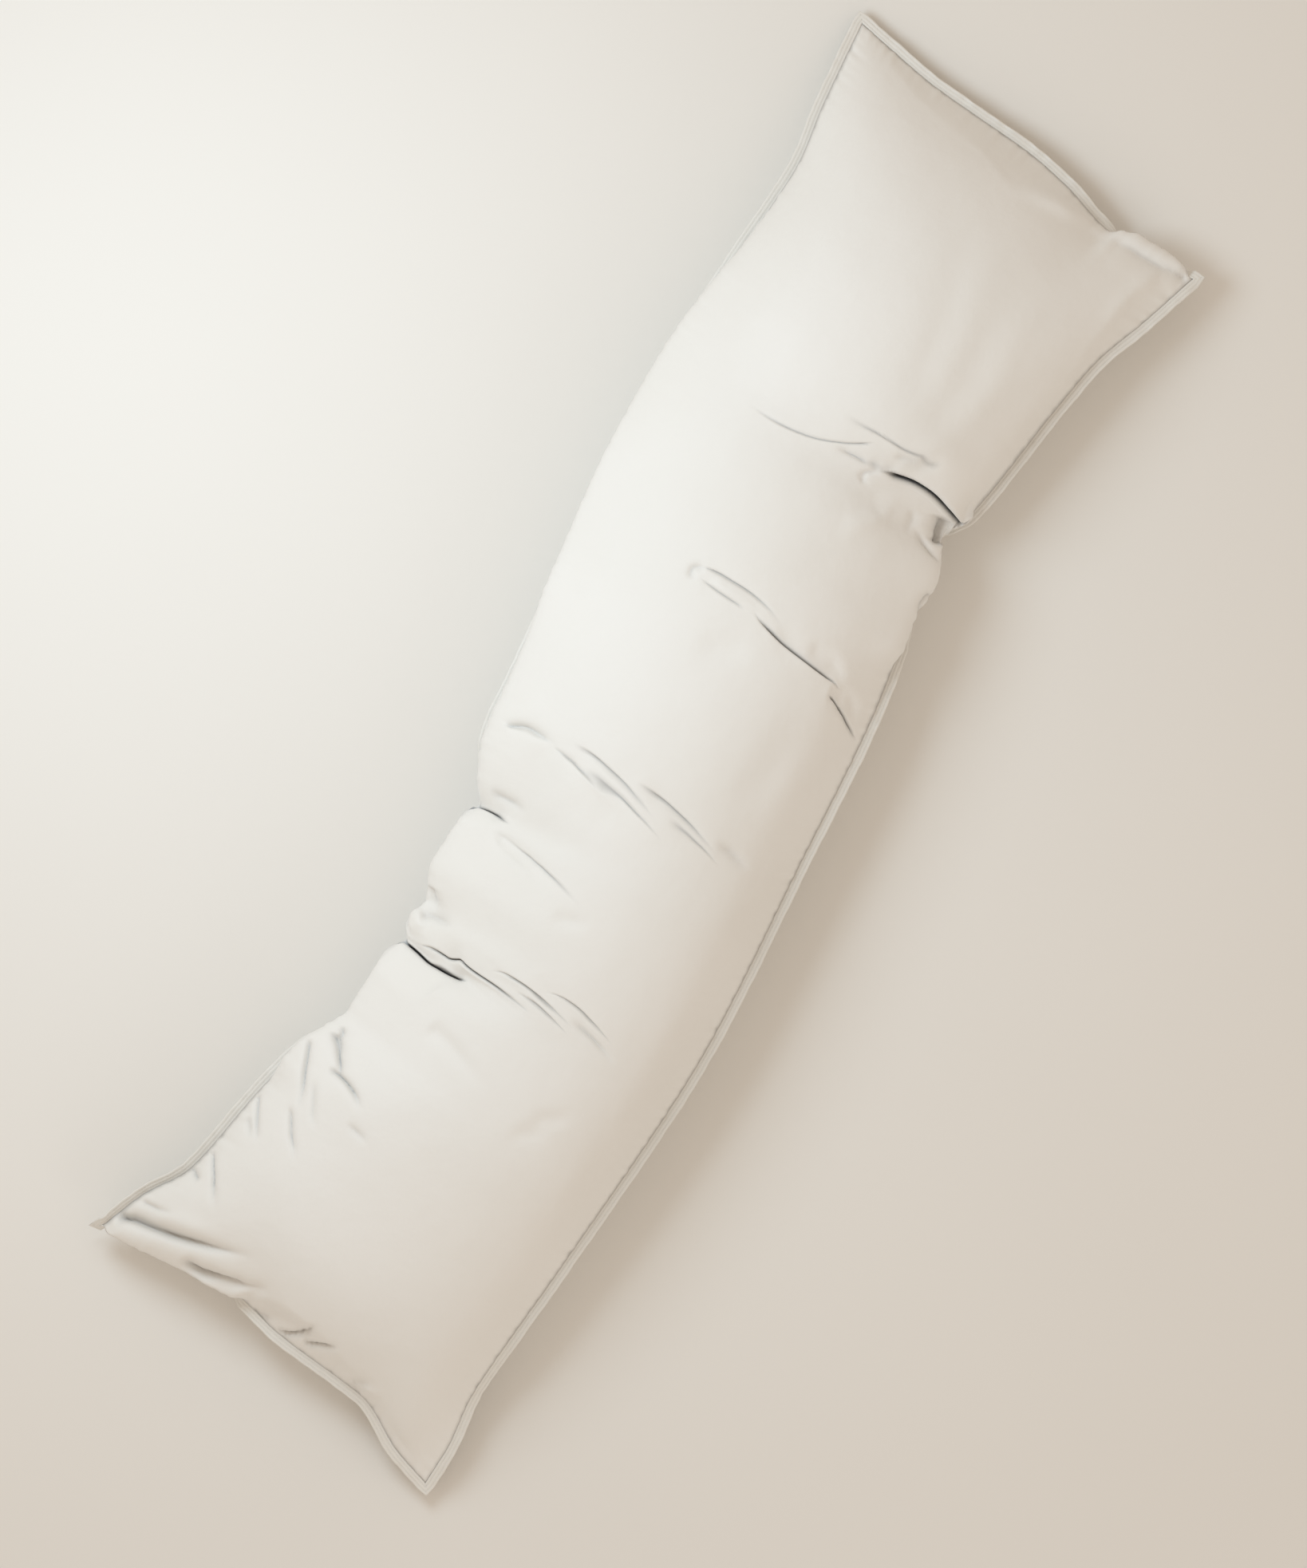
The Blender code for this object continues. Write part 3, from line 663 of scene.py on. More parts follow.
def tuck_cloth(before, station, across, tucks, lines, painted_fold_shade):
    """Draws the cloth into a slot along each line, upright under its place on the cloth as it was before."""
    along_way, across_way, out = (softened(d, 4) for d in slopes_of(before, station, across))
    points = before.copy()
    for tuck, line in zip(tucks, lines):
        part = around_line(line, station, across, TUCK_REACH * tuck.depth + TUCK_MARGIN)
        at, slant, along = beside_line(line, across[part][:, 0])
        tangent = unit(along_way[part] * slant[:, None, None] + across_way[part])
        east = along_way[part] - (along_way[part] * tangent).sum(axis=-1)[..., None] * tangent
        signed = walked(np.linalg.norm(east, axis=-1), station[part], at)
        room = ease((HALF_WIDTH - np.abs(across[part][:, 0])) / SEAM_ROOM)
        depths = tuck.depth * ease(along / tuck.fade_in) * ease((1 - along) / tuck.fade_out) * room
        for r in np.flatnonzero(depths > TOO_SHALLOW):
            here, depth, shift = before[part][r], depths[r], np.zeros(east[r].shape)
            seat, level, rise = (at_length(field, signed[r], 0.0) for field in (here, east[r], out[part][r]))
            level = unit(level)
            flat = unit(level * [1, 1, 0])
            rise = unit(rise - (rise @ flat) * flat + [0, 0, UPRIGHT])
            for side, lip in ((-1, tuck.west_lip), (1, tuck.east_lip)):
                mine = side * signed[r] >= 0
                s = np.abs(signed[r, mine])
                aside, down, opening, end = slot(s, depth, tuck.gap, lip)
                aside = side * aside - tuck.lean * down / tuck.depth
                walls = seat + level * aside[:, None] + rise * down[:, None] - here[mine]
                mouth = seat + level * side * opening - at_length(here, signed[r], side * end)
                fading = 1 - ease((s - end) / (FOLLOWS * depth + FOLLOWS_AT_LEAST))
                shift[mine] = np.where((s > end)[:, None], mouth * fading[:, None], walls)
                # painted shade: the cloth in a slot is painted darker the further down it lies, fully dark
                # from FULL_SHADE mm down
                painted_fold_shade[part][r, mine] = np.maximum(painted_fold_shade[part][r, mine], np.clip(-down / FULL_SHADE, 0, 1))
            points[part][r] += shift
    return points

# %% [markdown]
# ## Where the tucks lie
#
# The deep slits come first, as the smaller tucks beside them are found on cloth that has already been
# drawn in. Some tucks of the middle run on below each other in pairs, since a long line of bunched
# cloth seldom stays one line.

# %% The tucks
SLITS = rows_of(Tuck, [
    # the deep slit on the north side, the one on the south side, and the small notch
    (-268, 97, -273, 62, -268, 26, 15, 1.1, 3.5, 2, 0.04, 0.4),
    (329, -143, 345, -92, 333, -40, 17, 1.5, 6, 2, 0.06, 0.4, 3),
    (-127, 112, -124, 92, -124, 70, 8, 0.7, 2.5, 2.5, 0.06, 0.6),
])
TUCKS = rows_of(Tuck, [
    # beside the deep slit on the north side
    (-265, 86, -257, 34, -262, -44, 5.6, 0.7, 3, 1.5, 0.16, 0.55, 0.5),
    (-252, -16, -254, -50, -261, -82, 2.8, 0.5, 2, 1.5, 0.4, 0.5, 1),
    (-246, 16, -243, -26, -253, -82, 3.6, 0.6, 2.5, 1.5, 0.3, 0.5, 1),
    (-237, -38, -234, -74, -247, -122, 3.2, 0.5, 2.5, 1.5, 0.4, 0.5, 1),
    # the soft step
    (-139, 72, -138, 44, -154, -28, 2.4, 0.4, 3.5, 1.5, 0.4, 0.5, 1),
    # across the middle
    (-41, 76, -46, 44, -55, 14, 2.6, 0.5, 2, 1.5, 0.3),
    (-43, 42, -48, -4, -63, -60, 3, 0.5, 2, 1.5, 0.3),
    (-29, 62, -32, 14, -50, -44, 3.2, 0.5, 2.5, 1.5, 0.3, 0.5, 1),
    (-28, -4, -32, -58, -47, -110, 3.2, 0.5, 2.5, 1.5, 0.3, 0.5, 1),
    (-42, -48, -46, -84, -54, -118, 2.4, 0.4, 2, 1.5, 0.3),
    # the upside-down U and the pleat that runs from it
    (162, 46, 161, 18, 160, -8, 2.4, 0.4, 2, 2, 0.35, 0.3),
    (172, 50, 176, 2, 167, -48, 3.2, 0.6, 2.5, 1.5, 0.2, 0.5, 1),
    (165, -12, 153, -50, 147, -126, 6, 0.7, 1.5, 5, 0.25, 0.25, -1),
    (136, -114, 127, -136, 112, -162, 5.2, 0.7, 1.5, 4.6, 0.2, 0.4),
    # beside the deep slit on the south side
    (323, 92, 328, 26, 356, -26, 2.2, 0.4, 1.5, 1.5, 0.4, 0.08),
    (362, 16, 364, -36, 370, -90, 2.4, 0.4, 2, 1.5, 0.4, 0.08),
])
held = {}
for group in (SLITS, TUCKS):
    lines = [fold_line(tuck, top, station, across) for tuck in group]
    fields = np.concatenate([top, calm, painted_fold_shade[..., None]], axis=-1)
    station, fields, held = drawn_along(lines, fields, station, across, held)
    calm, painted_fold_shade = fields[..., 3:6], fields[..., 6]
    top = tuck_cloth(fields[..., :3], station, across, group, lines, painted_fold_shade)
    print(len(group), "tucks; the deepest lies", round(FULL_SHADE * float(painted_fold_shade.max()), 1), "mm down or more")

# %% [markdown]
# ## Fine creases
#
# The sharp lines of bunched cotton are only two or three millimetres wide. They lie in the valleys of
# the main folds and run out of them, and a fan of small ones pulls from the north seam, where the cloth
# is gathered into it. The last rows are broad and shallow, where the filling has sunk a little.

# %% The fine creases
FINE_CREASES = rows_of(Fold, [
    # the pocket under the lobe beside the slit on the south side, and the crumples round it
    (333, -119, 322, -123, 309, -129, 5.8, -15, 0, 0.1, 0.2),
    (312, -100, 300, -122, 296, -142, 4, -4.5, 1.2, 0.3, 0.4),
    (326, -92, 312, -94, 298, -100, 5, -2.5, 0.6, 0.3),
    (268, -146, 256, -143, 244, -147, 3.5, -5, 1, 0.2, 0.2),
    (334, 4, 336, -28, 346, -62, 3.6, -4.5, 1.4, 0.3, 0.3),
    (352, -46, 360, -66, 362, -94, 4.5, -3, 0.8, 0.3, 0.4),
    (316, -39, 327, -34, 335, -48, 3.8, -2.6, 0.2, 0.25, 0.25),
    # beside the deep slit on the north side, the notch and the step
    (-246, -72, -251, -102, -260, -131, 4, -4, 1.2, 0.3),
    (-241, 98, -234, 84, -237, 62, 5.5, -5, 1.2, 0.2),
    (-213, 102, -219, 96, -226, 87, 4.5, -4.5, 1.2, 0.15, 0.4),
    (-112, 102, -106, 84, -108, 62, 5.5, -4.5, 1, 0.2),
    (-140, 80, -139, 50, -152, 0, 8, -3.5, 0.8, 0.2, 0.5, 2),
    # across the middle
    (-50, 123, -39, 104, -43, 74, 4, -6, 1.4, 0.1, 0.4, 0.6),
    (-48, 60, -52, 20, -58, -20, 5, 2, 0, 0.4),
    (-38, 50, -42, 10, -52, -40, 5, 2.2, 0, 0.4),
    (-35, -98, -37, -120, -43, -143, 5, -3.5, 0.8, 0.4),
    # the arc of the upside-down U, and the slope and the hollow below it
    (158, 46, 166, 55, 174, 44, 3.4, -3.2, 0.5, 0.25, 0.2),
    (167, 40, 168, 10, 165, -20, 4, 2, 0, 0.3, 0.4),
    (160, -74, 163, -96, 156, -124, 6, -3, 0, 0.3, 0.4),
    (141, -118, 143, -132, 138, -148, 6, -3, 0, 0.2, 0.4),
    # the north-west corner, and the small ones that run out of the end seam
    (-627, 194, -615.5, 125, -590, 50, 3.8, -13, 1.8, 0.08, 0.6),
    (-635, 116, -629, 78, -611, 28, 3.8, -10, 1.2, 0.2),
    (-642, 3, -632, -16, -611, -27, 3.2, -8, 1.4, 0.15),
    (-639, -22, -630, -40, -621, -56, 3.2, -7, 1.2, 0.2),
    (-647, 36, -640, 26, -634, 10, 3.4, -9, 1.4, 0.15),
    (-652, -92, -643, -86, -637, -112, 5, -3, 0.6, 0.3, 0.4),
    # beside the roll at the south-east
    (643, -199, 641, -150, 638, -100, 3.6, -4.5, 1, 0.12, 0.4),
    # the fan of small ones at the north seam
    (-531, 144, -552, 129, -578, 111, 3, -6.5, 1.6, 0.12, 0.55),
    (-553, 153, -558, 146, -562, 138, 3.2, -6, 1.4, 0.15, 0.4),
    (-463, 136, -482, 125, -502, 111, 3, -6.5, 1.6, 0.12),
    (-486, 133, -494, 127, -502, 117, 3.2, -3.5, 1, 0.2),
    (-453, 105, -474, 91, -499, 71, 3.2, -5.5, 1.4, 0.3),
    (-393, 123, -422, 110, -458, 93, 3, -7.5, 1.8, 0.12),
    (-377, 108, -392, 91, -413, 73, 3.4, -9, 2, 0.1),
    (-366, 103, -380, 95, -393, 84, 3.2, -6.5, 1.6, 0.15),
    (-407, 94, -409, 68, -425, 43, 3.4, -8.5, 1.8, 0.2),
    (-438, 52, -441, 38, -446, 24, 4, -3, 0.8, 0.4),
    (-418, 100, -444, 86, -462, 72, 3.4, -3, 1, 0.3),
    (-606, 176, -604, 160, -598, 138, 3.6, -3.5, 1, 0.2, 0.6),
    # broad hollows
    (-321, 34, -328, 8, -345, -54, 8, -3.2, 0.6, 0.2),
    (-372, -78, -356, -98, -348, -118, 9, -2.2, 0.2, 0.4),
    (-346, -88, -334, -108, -323, -132, 8, -2.2, 0.2, 0.4),
    (-176, -4, -170, -24, -162, -46, 7, -2.2, 0.2, 0.4),
    (380, -62, 470, -66, 600, -40, 26, -4, 0, 0.25, 0.6),
    (376, -40, 480, -22, 636, 22, 24, -3, 0, 0.3, 0.6),
    (370, -96, 440, -112, 540, -118, 22, -3, 0, 0.3, 0.6),
    (100, 20, 120, -10, 134, -40, 16, -2.5, 0, 0.4),
    (-10, -90, 60, -110, 130, -100, 24, -3, 0, 0.4),
    (270, -40, 290, -60, 312, -80, 12, 2.5, 0, 0.4, 0.4),
])
top = fold_cloth(top, station, across, FINE_CREASES, 6, calm, painted_fold_shade)
print("fine creases:", len(FINE_CREASES))

# %% [markdown]
# ## Gathers at the seam
#
# A needle draws cloth in a little with every stitch, so both panels leave the seam in small waves that
# die out within two fingers' width. Under them the belly has longer slack waves down to the surface.

# %% Gathers
WAVE_SIZES = (1, 0.8, 0.6)
UNEVEN_LENGTHS, UNEVEN_SIZES = (140, 87, 53), (0.6, 0.5, 0.4)
EVEN_SHARE, UNEVEN_SHARE = 0.7, 0.3
CORNER_TURN, RISE = 20, 0.25
rng = np.random.default_rng(7)


def waves(at, lengths, sizes):
    """A wandering wave: sines of these lengths and sizes, with their starts drawn by lot."""
    total = np.zeros_like(at)
    for length, size in zip(lengths, sizes):
        total += size * np.sin(2 * np.pi * at / length + rng.uniform(0, 2 * np.pi))
    return total


def gathered(points, station, across, size, reach, lengths):
    """The panel with waves that run out from its seams."""
    room = from_seam(station, across)
    by_end = ease((HALF_WIDTH - np.abs(across) - (HALF_LENGTH - np.abs(station))) / CORNER_TURN + 0.5)
    along_sides, along_ends = (waves(at, lengths, WAVE_SIZES) for at in (station, across))
    uneven = EVEN_SHARE + UNEVEN_SHARE * waves(station + across, UNEVEN_LENGTHS, UNEVEN_SIZES)
    wave = (along_sides * (1 - by_end) + along_ends * by_end) * uneven
    out = softened(slopes_of(points, station, across)[2], 3)
    shape = size * np.exp(-room / reach) * (1 - np.exp(-room / (RISE * reach)))
    return points + out * (wave * shape)[..., None]


top = gathered(top, station, across, size=0.9, reach=9, lengths=(11, 17, 29))
belly = gathered(belly, low_station, low_across, size=-2.4, reach=26, lengths=(31, 47, 83))
belly[..., 2] = np.maximum(belly[..., 2], 0)
print("lowest and highest of the top panel, mm:", top[..., 2].min().round(1), top[..., 2].max().round(1))

# %% [markdown]
# ## One closed cover
#
# The panels share their seam, so the cover is one closed mesh. Its UV map is the cutting pattern itself
# in metres, which lets the weave keep its true size and run straight with the threads.

# %% Build the pillow's mesh
TO_SOLID = np.array([1.61, 1.23, 0.0])
# painted shade along the seam: how dark it is, and how far in from the seam (mm) it fades
SEAM_SHADE, SEAM_SHADE_REACH = 0.55, 1.9


def add_piece(name, points, faces, places=None, shade=None):
    """A mesh object that rides on the pillow's body, from points in mm, UV places and painted shade per
    point.
    """
    mesh = bpy.data.meshes.new(name)
    mesh.from_pydata((points + TO_SOLID) * MM, [], faces)
    if places is not None:
        mesh.uv_layers.new(name="cloth").data.foreach_set("uv", (places * MM).ravel())
    if shade is not None:
        mesh.attributes.new("shade", "FLOAT", "POINT").data.foreach_set("value", shade)
    mesh.shade_smooth()
    piece = new_object(name, mesh)
    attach(piece, "root")
    return piece


def closed_cover(top, belly):
    """Points, faces and UV places of the top panel, and of the coarser belly that hangs from its seam."""
    rows, columns = top.shape[:2]
    fine = np.arange(rows * columns).reshape(rows, columns)
    coarse = fine[::2, ::2].copy()
    inside = np.s_[1:-1, 1:-1]
    coarse[inside] = rows * columns + np.arange(coarse[inside].size).reshape(coarse[inside].shape)
    faces = quads_of(top.shape[:2]).tolist()
    last_row, last_column = coarse.shape[0] - 2, coarse.shape[1] - 2
    for r in range(last_row + 1):
        for c in range(last_column + 1):
            ring = (
                coarse[r, c], fine[0, 2 * c + 1] if r == 0 else None,
                coarse[r, c + 1], fine[2 * r + 1, -1] if c == last_column else None,
                coarse[r + 1, c + 1], fine[-1, 2 * c + 1] if r == last_row else None,
                coarse[r + 1, c], fine[2 * r + 1, 0] if c == 0 else None,
            )
            faces.append([int(i) for i in reversed(ring) if i is not None])
    points = np.concatenate([top.reshape(-1, 3), belly[inside].reshape(-1, 3)])
    nets = ((station, across), (low_station[inside], low_across[inside]))
    places = np.concatenate([np.stack(net, -1).reshape(-1, 2) for net in nets])
    return points, faces, places[np.concatenate(faces)]


# Painted shade of the cover: the darker of the fold and slit shade and a thin dark line painted along the
# seam; the belly has none.
painted_seam_shade = SEAM_SHADE * np.exp(-((from_seam(station, across) / SEAM_SHADE_REACH) ** 2))
shade = np.concatenate([np.maximum(painted_fold_shade, painted_seam_shade).ravel(), np.zeros(belly[1:-1, 1:-1, 0].size)])
cover = add_piece("pillow_cover", *closed_cover(top, belly), shade)
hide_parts("pillow")
print("pillow_cover:", len(cover.data.polygons), "faces")

# %% [markdown]
# ## The binding
#
# A narrow tape is folded over the raw edges of both panels and sewn down with two rows of stitches. It
# stands out from the seam, midway between the two panels, and turns under where a panel swells over it.
# Its section is drawn once and swept round the four sides, with a mitre at each corner. A tape is never
# quite as long as the edge it is sewn to, so it ruffles, mostly at the pillow's head.

# %% The way out of the seam
TURNS_UNDER = {
    "south": [
        (-725, 0), (-660, 0), (-630, 35), (-590, 35), (-550, 0), (190, 0), (240, 60), (340, 60), (385, 0),
        (725, 0),
    ],
    "east": [(-200, 0), (-192, 6), (-165, 50), (-125, 65), (-100, 0), (200, 0)],
    "north": [
        (-725, -32), (-650, -32), (-600, -10), (-560, 0), (-440, 0), (-400, 25), (-130, 25), (-60, 0),
        (20, 0), (80, 12), (400, 12), (460, 0), (725, 0),
    ],
    "west": [(-200, 0), (38, 0), (60, 75), (180, 75), (200, 20)],
}
RUFFLES = {
    "south": [(-725, 0.6), (60, 0.4), (110, 1.5), (200, 1.3), (280, 0.6), (400, 1), (560, 1), (725, 0.6)],
    "east": [(-200, 0.6), (-80, 0.8), (-40, 1.9), (60, 1.9), (110, 0.7), (200, 0.6)],
    "north": [(-725, 0.6), (-560, 0.7), (-400, 0.6), (725, 0.6)],
    "west": [(-200, 0.6), (-60, 0.5), (10, 0.5), (40, 1.4), (80, 0.6), (200, 0.6)],
}
BLUNT = 1.3
FELT_AT = (2, 4, 7, 10, 14)


def sides_of(grid):
    """The four edges of a grid, one after another round the seam, each from corner to corner."""
    return grid[0], grid[:, -1], grid[-1, ::-1], grid[::-1, 0]


def evened(vectors, rounds):
    """Evens directions out along a line."""
    for _ in range(rounds):
        vectors = vectors.copy()
        vectors[1:-1] = unit(vectors[:-2] + 2 * vectors[1:-1] + vectors[2:])
    return vectors


def way_out(line, station, across, turn):
    """Along one side: the direction out of the seam, midway between the panels, and the side's upward."""
    run = evened(unit(np.gradient(line, axis=0)), 10)
    out = unit(np.stack([run[:, 1], -run[:, 0], np.zeros(len(run))], axis=1))
    edge = np.stack([station, across], axis=1)
    at_edge = np.abs(edge) > np.array([HALF_LENGTH, HALF_WIDTH]) - 0.01
    at_edge[[0, -1]] = at_edge[1]
    inward = -np.sign(edge) * at_edge
    free = []
    for is_top in (True, False):
        angles = []
        for inset in FELT_AT:
            there = edge + inward * inset
            panel = lying(there[:, 0], there[:, 1], is_top) - line
            angles.append(np.arctan2(np.abs(panel[:, 2]), (panel * out).sum(axis=1)))
        free.append(np.min(angles, axis=0))
    tilt = (free[0] - free[1]) / 2 - np.radians(turn)
    direction = out * np.cos(tilt)[:, None]
    direction[:, 2] = np.sin(tilt)
    direction = evened(direction, 12)
    return direction, unit(np.cross(direction, run))


def closed(path):
    return np.concatenate([path, path[:1]])


def lengths_along(path):
    """How far along a path each of its points is."""
    return np.concatenate([[0], np.cumsum(np.linalg.norm(np.diff(path, axis=0), axis=1))])


def mitre(before, after):
    """The way out at a corner, a little blunter than the point where the two edges would meet."""
    meeting = (before + after) / (1 + before @ after)
    return meeting * min(1, BLUNT / np.linalg.norm(meeting))


parts = []
sides = zip(("south", "east", "north", "west"), *(sides_of(grid) for grid in (top, station, across)))
for name, line, stations, acrosses in sides:
    along = stations if name in ("south", "north") else acrosses
    turn, ruffle = (np.interp(along, *zip(*table[name])) for table in (TURNS_UNDER, RUFFLES))
    out, up = way_out(line, stations, acrosses, turn)
    if parts:
        out[0] = mitre(parts[-1][1][-1], out[0])
    parts.append((line, out, up, ruffle))
parts[0][1][0] = mitre(parts[-1][1][-1], parts[0][1][0])
line, out, up, ruffle = (np.concatenate([side[:-1] for side in group]) for group in zip(*parts))
reached = lengths_along(closed(line))
print(f"the seam is {reached[-1]:.0f} mm round")

# %% [markdown]
# The tape's section runs from just inside the seam to its folded outer edge. The two grooves are where
# the stitches pull it together, and the tape is a little fuller between them.

# %% Sweep the tape
TAPE_TOP = [
    (-0.8, 0.50), (-0.2, 0.95), (0.8, 1.10), (1.6, 0.95), (2.1, 0.62), (2.6, 0.95), (3.4, 1.15),
    (4.6, 1.15), (5.4, 0.95), (5.9, 0.62), (6.4, 0.95), (7.2, 1.05), (8.2, 0.95), (8.9, 0.60), (9.1, 0.0),
]
GROOVES = (4, 9)
TAPE_WIDTH, NARROWER = 9, 0.92
OFF_FLOOR = 0.3
WANDER, FREE_EDGE_POWER = 0.25, 1.3
section = np.array(TAPE_TOP + [(u, -v) for u, v in TAPE_TOP[-2::-1]]) * [NARROWER, 1.0]


def loop_waves(reached, total, lengths, sizes):
    """Wandering waves that meet themselves again after one round."""
    whole = [total / max(round(total / length), 1) for length in lengths]
    return waves(reached, whole, sizes)


at = reached[:-1]
flutter = ruffle * loop_waves(at, reached[-1], (15, 23, 41), (0.5, 0.5, 0.4))
wander = WANDER * loop_waves(at, reached[-1], (19, 37, 71), (0.5, 0.5, 0.6))
u, v = section[:, 0][None, :, None], section[:, 1][None, :, None]
share = np.clip(u / TAPE_WIDTH, 0, 1)
rings = line[:, None] + out[:, None] * (u + share * wander[:, None, None])
rings = rings + up[:, None] * (v + share**FREE_EDGE_POWER * flutter[:, None, None])
rings[..., 2] = np.maximum(rings[..., 2], OFF_FLOOR)
count, around = rings.shape[:2]
i, j = np.meshgrid(np.arange(count), np.arange(around), indexing="ij")
girth = lengths_along(closed(section))
corners = ((0, 0), (1, 0), (1, 1), (0, 1))
faces = np.stack([(i + a) % count * around + (j + b) % around for a, b in corners], -1).reshape(-1, 4)
places = np.stack([np.stack([reached[i + a], girth[j + b]], -1) for a, b in corners], axis=2)
tape = add_piece("edge_tape", rings.reshape(-1, 3), faces.tolist(), places.reshape(-1, 2))
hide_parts("edge_binding")
print("edge_tape:", len(tape.data.polygons), "faces")

# %% [markdown]
# ## The stitches
#
# Each stitch is a short bar of thread that dips into the tape at both ends. They follow both grooves on
# both faces of the tape, at 3.4 mm from one to the next, as a twin-needle machine sets them.

# %% Lay the stitches
STITCH_PITCH, STITCH_LENGTH, THREAD, SIDES = 3.4, 2.7, 0.28, 5
STITCH_SHAPE = ((0, 0, 0.45), (0.22, 0.26, 1), (0.78, 0.26, 1), (1, 0, 0.45))
BAR_RINGS = len(STITCH_SHAPE)
along, height, thickness = np.array(STITCH_SHAPE, float).T

bars = []
for column, side in [(column, side) for k in GROOVES for column, side in ((k, 1), (around - 1 - k, -1))]:
    path, upward = closed(rings[:, column]), closed(up * side)
    lengths = lengths_along(path)
    number = int(lengths[-1] / STITCH_PITCH)
    starts = np.arange(number) * lengths[-1] / number
    where = np.minimum(starts[:, None] + along * STITCH_LENGTH, lengths[-1])
    middle, rise = at_length(path, lengths, where), unit(at_length(upward, lengths, where))
    middle = middle + rise * height[None, :, None]
    forward = unit(middle[:, -1] - middle[:, 0])[:, None]
    beside = unit(np.cross(forward, rise))
    turn = np.linspace(0, 2 * np.pi, SIDES, endpoint=False)
    ring = beside[:, :, None] * np.cos(turn)[:, None] + rise[:, :, None] * np.sin(turn)[:, None]
    bars.append(middle[:, :, None] + ring * (THREAD * thickness)[None, :, None, None])
bars = np.concatenate(bars)
belt = [[k, k + SIDES, (k + 1) % SIDES + SIDES, (k + 1) % SIDES] for k in range(SIDES)]
bar_faces = [[v + SIDES * ring for v in face] for ring in range(BAR_RINGS - 1) for face in belt]
caps = [[*range(SIDES)][::-1], [*range((BAR_RINGS - 1) * SIDES, BAR_RINGS * SIDES)]]
faces = [[v + BAR_RINGS * SIDES * n for v in face] for n in range(len(bars)) for face in bar_faces + caps]
stitches = add_piece("binding_stitches", bars.reshape(-1, 3), faces)
print("stitches:", len(bars))

# %% [markdown]
# ## Cotton
#
# Down-proof cotton is woven so tight that it has a faint shine. The material is a plain weave at its
# true size, threads that are uneven in thickness, a slow drift between a cooler and a warmer white, and
# the small crinkles that are too fine for the mesh. The tape is the same cotton in a coarser weave and
# a little greyer. Nodes make all of it, so nothing depends on a picture.

# %% A material in layers
# painted shade: the dark colour that the cover's cotton is mixed towards by its shade attribute
PAINTED_SHADE_COLOUR = (0.06, 0.055, 0.048, 1)
RAMP_STOPS, SHEEN_ROUGHNESS = (0.3, 0.7), 0.4


class Cloth:
    """A node material that is built up one layer at a time."""

    def __init__(self, name, roughness, sheen):
        self.made = bpy.data.materials.new(name)
        self.made.use_nodes = True
        self.tree = self.made.node_tree
        self.sockets = self.tree.nodes["Principled BSDF"].inputs
        self.sockets["Roughness"].default_value = roughness
        self.sockets["Sheen Weight"].default_value = sheen
        self.sockets["Sheen Roughness"].default_value = SHEEN_ROUGHNESS
        self.normal = None

    def node(self, kind, wires=(), **values):
        made = self.tree.nodes.new("ShaderNode" + kind)
        for key, value in values.items():
            if key in made.inputs:
                made.inputs[key].default_value = value
            else:
                setattr(made, key, value)
        for key, socket in dict(wires).items():
            self.tree.links.new(socket, made.inputs[key])
        return made

    def noise(self, where, scale, detail=2.0, stretch=None):
        if stretch:
            where = self.node("Mapping", {"Vector": where}, Scale=stretch).outputs[0]
        return self.node("TexNoise", {"Vector": where}, Scale=scale, Detail=detail).outputs["Fac"]

    def raise_by(self, height, distance):
        wires = {"Height": height} | ({"Normal": self.normal} if self.normal else {})
        self.normal = self.node("Bump", wires, Distance=distance, Strength=1.0).outputs[0]
        self.tree.links.new(self.normal, self.sockets["Normal"])

    def colours(self, fac, first, second, shaded=False):
        ramp = self.node("ValToRGB", {"Fac": fac})
        for stop, position, colour in zip(ramp.color_ramp.elements, RAMP_STOPS, (first, second)):
            stop.position, stop.color = position, (*colour, 1)
        colour = ramp.outputs[0]
        # painted shade: the colour is mixed towards a dark colour as far as the point's shade says
        if shaded:
            shade = self.node("Attribute", attribute_name="shade").outputs["Fac"]
            mix = self.node("Mix", {0: shade, 6: colour}, data_type="RGBA")
            mix.inputs[7].default_value = PAINTED_SHADE_COLOUR
            colour = mix.outputs[2]
        self.tree.links.new(colour, self.sockets["Base Color"])

    def rough_by(self, fac, low, high):
        spread = self.node("MapRange", {"Value": fac}, **{"To Min": low, "To Max": high})
        self.tree.links.new(spread.outputs[0], self.sockets["Roughness"])

# %% [markdown]
# The weave is two waves at right angles, multiplied, so that threads pass over and under each other. It
# is tied to the UV map. Stretched noise makes the threads uneven, and noise in the object's own space
# makes the crinkles and the drift of the white.

# %% Weave the cottons
CRINKLES = ((26, 0.0010), (110, 0.00022))
SLUBS, SLUB_HEIGHT = ((90, 1600, 1), (1600, 90, 1)), 0.00003
WEAVE_HEIGHT, WAVE_FACTOR = 0.00005, 20


def woven(name, first, second, thread, sheen, crinkle, shaded):
    """A plain-woven cotton between two colours, with threads this many mm apart."""
    cloth = Cloth(name, 0.55, sheen)
    flat = cloth.node("UVMap", uv_map="cloth").outputs[0]
    room = cloth.node("TexCoord").outputs["Object"]
    wave = {"Scale": 2 * math.pi / (WAVE_FACTOR * thread * MM), "wave_profile": "SIN"}
    warp, weft = (cloth.node("TexWave", {"Vector": flat}, bands_direction=way, **wave) for way in "XY")
    weave = cloth.node("Math", {0: warp.outputs["Fac"], 1: weft.outputs["Fac"]}, operation="MULTIPLY")
    for scale, height in CRINKLES:
        cloth.raise_by(cloth.noise(room, scale, 3), height * crinkle)
    for stretch in SLUBS:
        cloth.raise_by(cloth.noise(flat, 1, 2, stretch), SLUB_HEIGHT)
    cloth.raise_by(weave.outputs[0], WEAVE_HEIGHT)
    cloth.colours(cloth.noise(room, 5, 4), first, second, shaded)
    cloth.rough_by(cloth.noise(room, 40, 2), 0.48, 0.60)
    return cloth.made
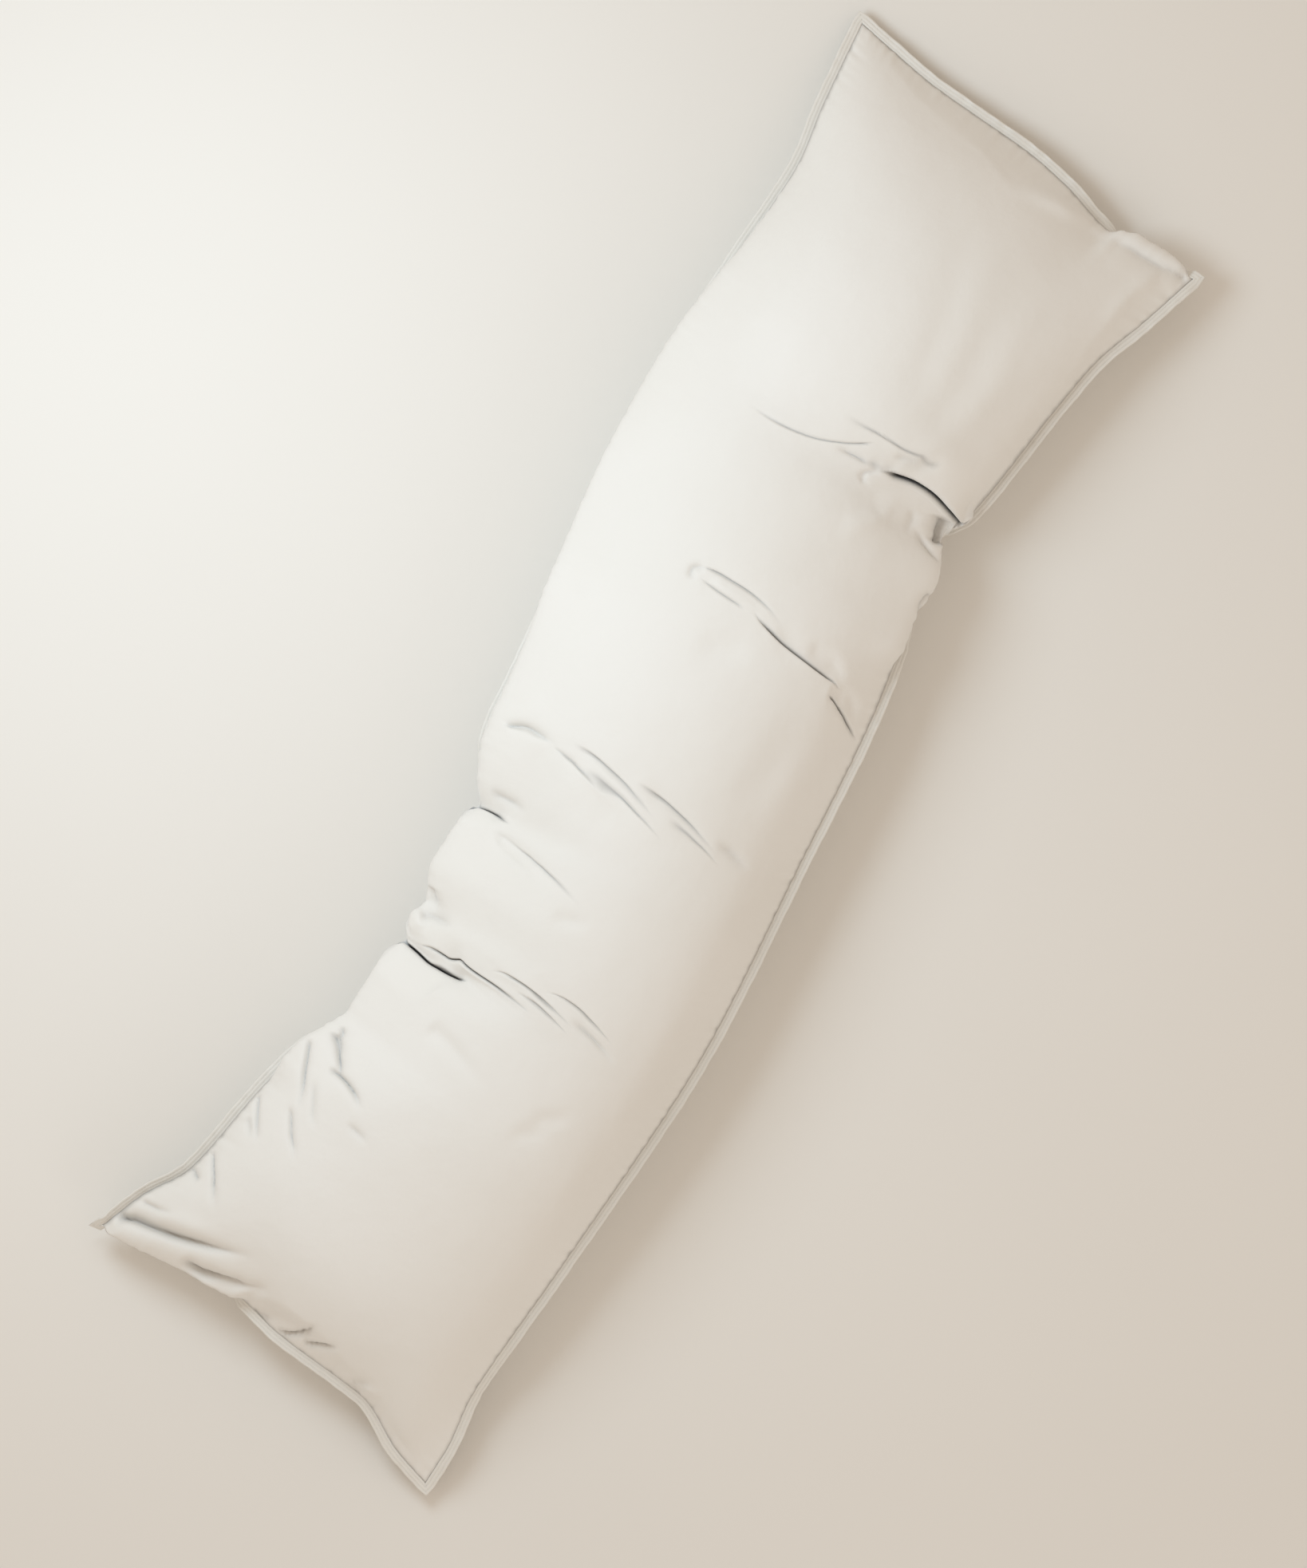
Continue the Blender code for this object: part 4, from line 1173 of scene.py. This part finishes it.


# only the cover's cotton carries the painted shade of its folds, slits and seam
cotton = woven("down_proof_cotton", (0.800, 0.785, 0.745), (0.830, 0.818, 0.785), 0.42, 0.50, 1.0, True)
tape_cotton = woven("tape_cotton", (0.735, 0.718, 0.670), (0.785, 0.770, 0.728), 0.60, 0.35, 0.6, False)
thread = Cloth("sewing_thread", 0.5, 0.2)
room = thread.node("TexCoord").outputs["Object"]
thread.raise_by(thread.noise(room, 2600, 1), 0.00008)
thread.colours(thread.noise(room, 300, 2), (0.77, 0.75, 0.70), (0.82, 0.80, 0.76))
for piece, finish in ((cover, cotton), (tape, tape_cotton), (stitches, thread.made)):
    piece.data.materials.append(finish)
print("materials:", cotton.name, tape_cotton.name, thread.made.name)

# %% [markdown]
# ## Where it is seen
#
# The pillow is looked at from straight above, over a plain pale floor. Most of the light comes softly
# from everywhere, as in a white room. One large soft light stands on the north side, so that the creases
# and the edges keep tight, gentle shadows, and a weaker one far off in the south-west fills them.

# %% Floor, light and camera
FLOOR_REACH = 9
floor_mesh = bpy.data.meshes.new("floor")
floor_corners = [(x * FLOOR_REACH, y * FLOOR_REACH, 0) for x, y in ((-1, -1), (1, -1), (1, 1), (-1, 1))]
floor_mesh.from_pydata(floor_corners, [], [(0, 1, 2, 3)])
floor = new_object("floor", floor_mesh)
pale = Cloth("pale_floor", 0.9, 0.0)
drift = pale.noise(pale.node("TexCoord").outputs["Object"], 1.2, 3)
pale.colours(drift, (0.785, 0.765, 0.725), (0.80, 0.78, 0.74))
floor_mesh.materials.append(pale.made)

CAMERA_HEIGHT, SEEN_LENGTH, SENSOR = 9.0, 1.464, 36
camera = new_object("camera", bpy.data.cameras.new("camera"))
bpy.context.scene.camera = camera
right, upward = Vector((0.53426, -0.84532, 0)), Vector((0.84532, 0.53426, 0))
basis = Matrix((right, upward, right.cross(upward))).transposed()
aim = Vector((-19.5, -20.5, 60)) * MM
camera.matrix_world = Matrix.Translation(aim + Vector((0, 0, CAMERA_HEIGHT))) @ basis.to_4x4()
camera.data.lens = SENSOR * CAMERA_HEIGHT / SEEN_LENGTH
camera.data.clip_end = 50
bpy.context.scene.view_settings.view_transform = "Standard"

world = bpy.data.worlds.new("studio")
bpy.context.scene.world = world
world.use_nodes = True
background = world.node_tree.nodes["Background"]
background.inputs["Color"].default_value = (1.0, 0.873, 0.749, 1)
background.inputs["Strength"].default_value = 0.684


def soft_light(name, place, size, power, colour):
    """A round area light that looks at the middle of the pillow."""
    lamp = bpy.data.lights.new(name, "AREA")
    lamp.shape = "DISK"
    lamp.size, lamp.energy, lamp.color = size, power, colour
    light = new_object(name, lamp)
    light.location = place
    light.rotation_euler = (-Vector(place)).to_track_quat("-Z", "Y").to_euler()
    light.visible_camera = False


soft_light("window", (0.10, 0.80, 1.10), 0.8, 9.3, (0.705, 0.869, 1.0))
soft_light("reflector", (-2.00, -3.15, 1.30), 2.0, 14.5, (0.94, 0.97, 1.0))
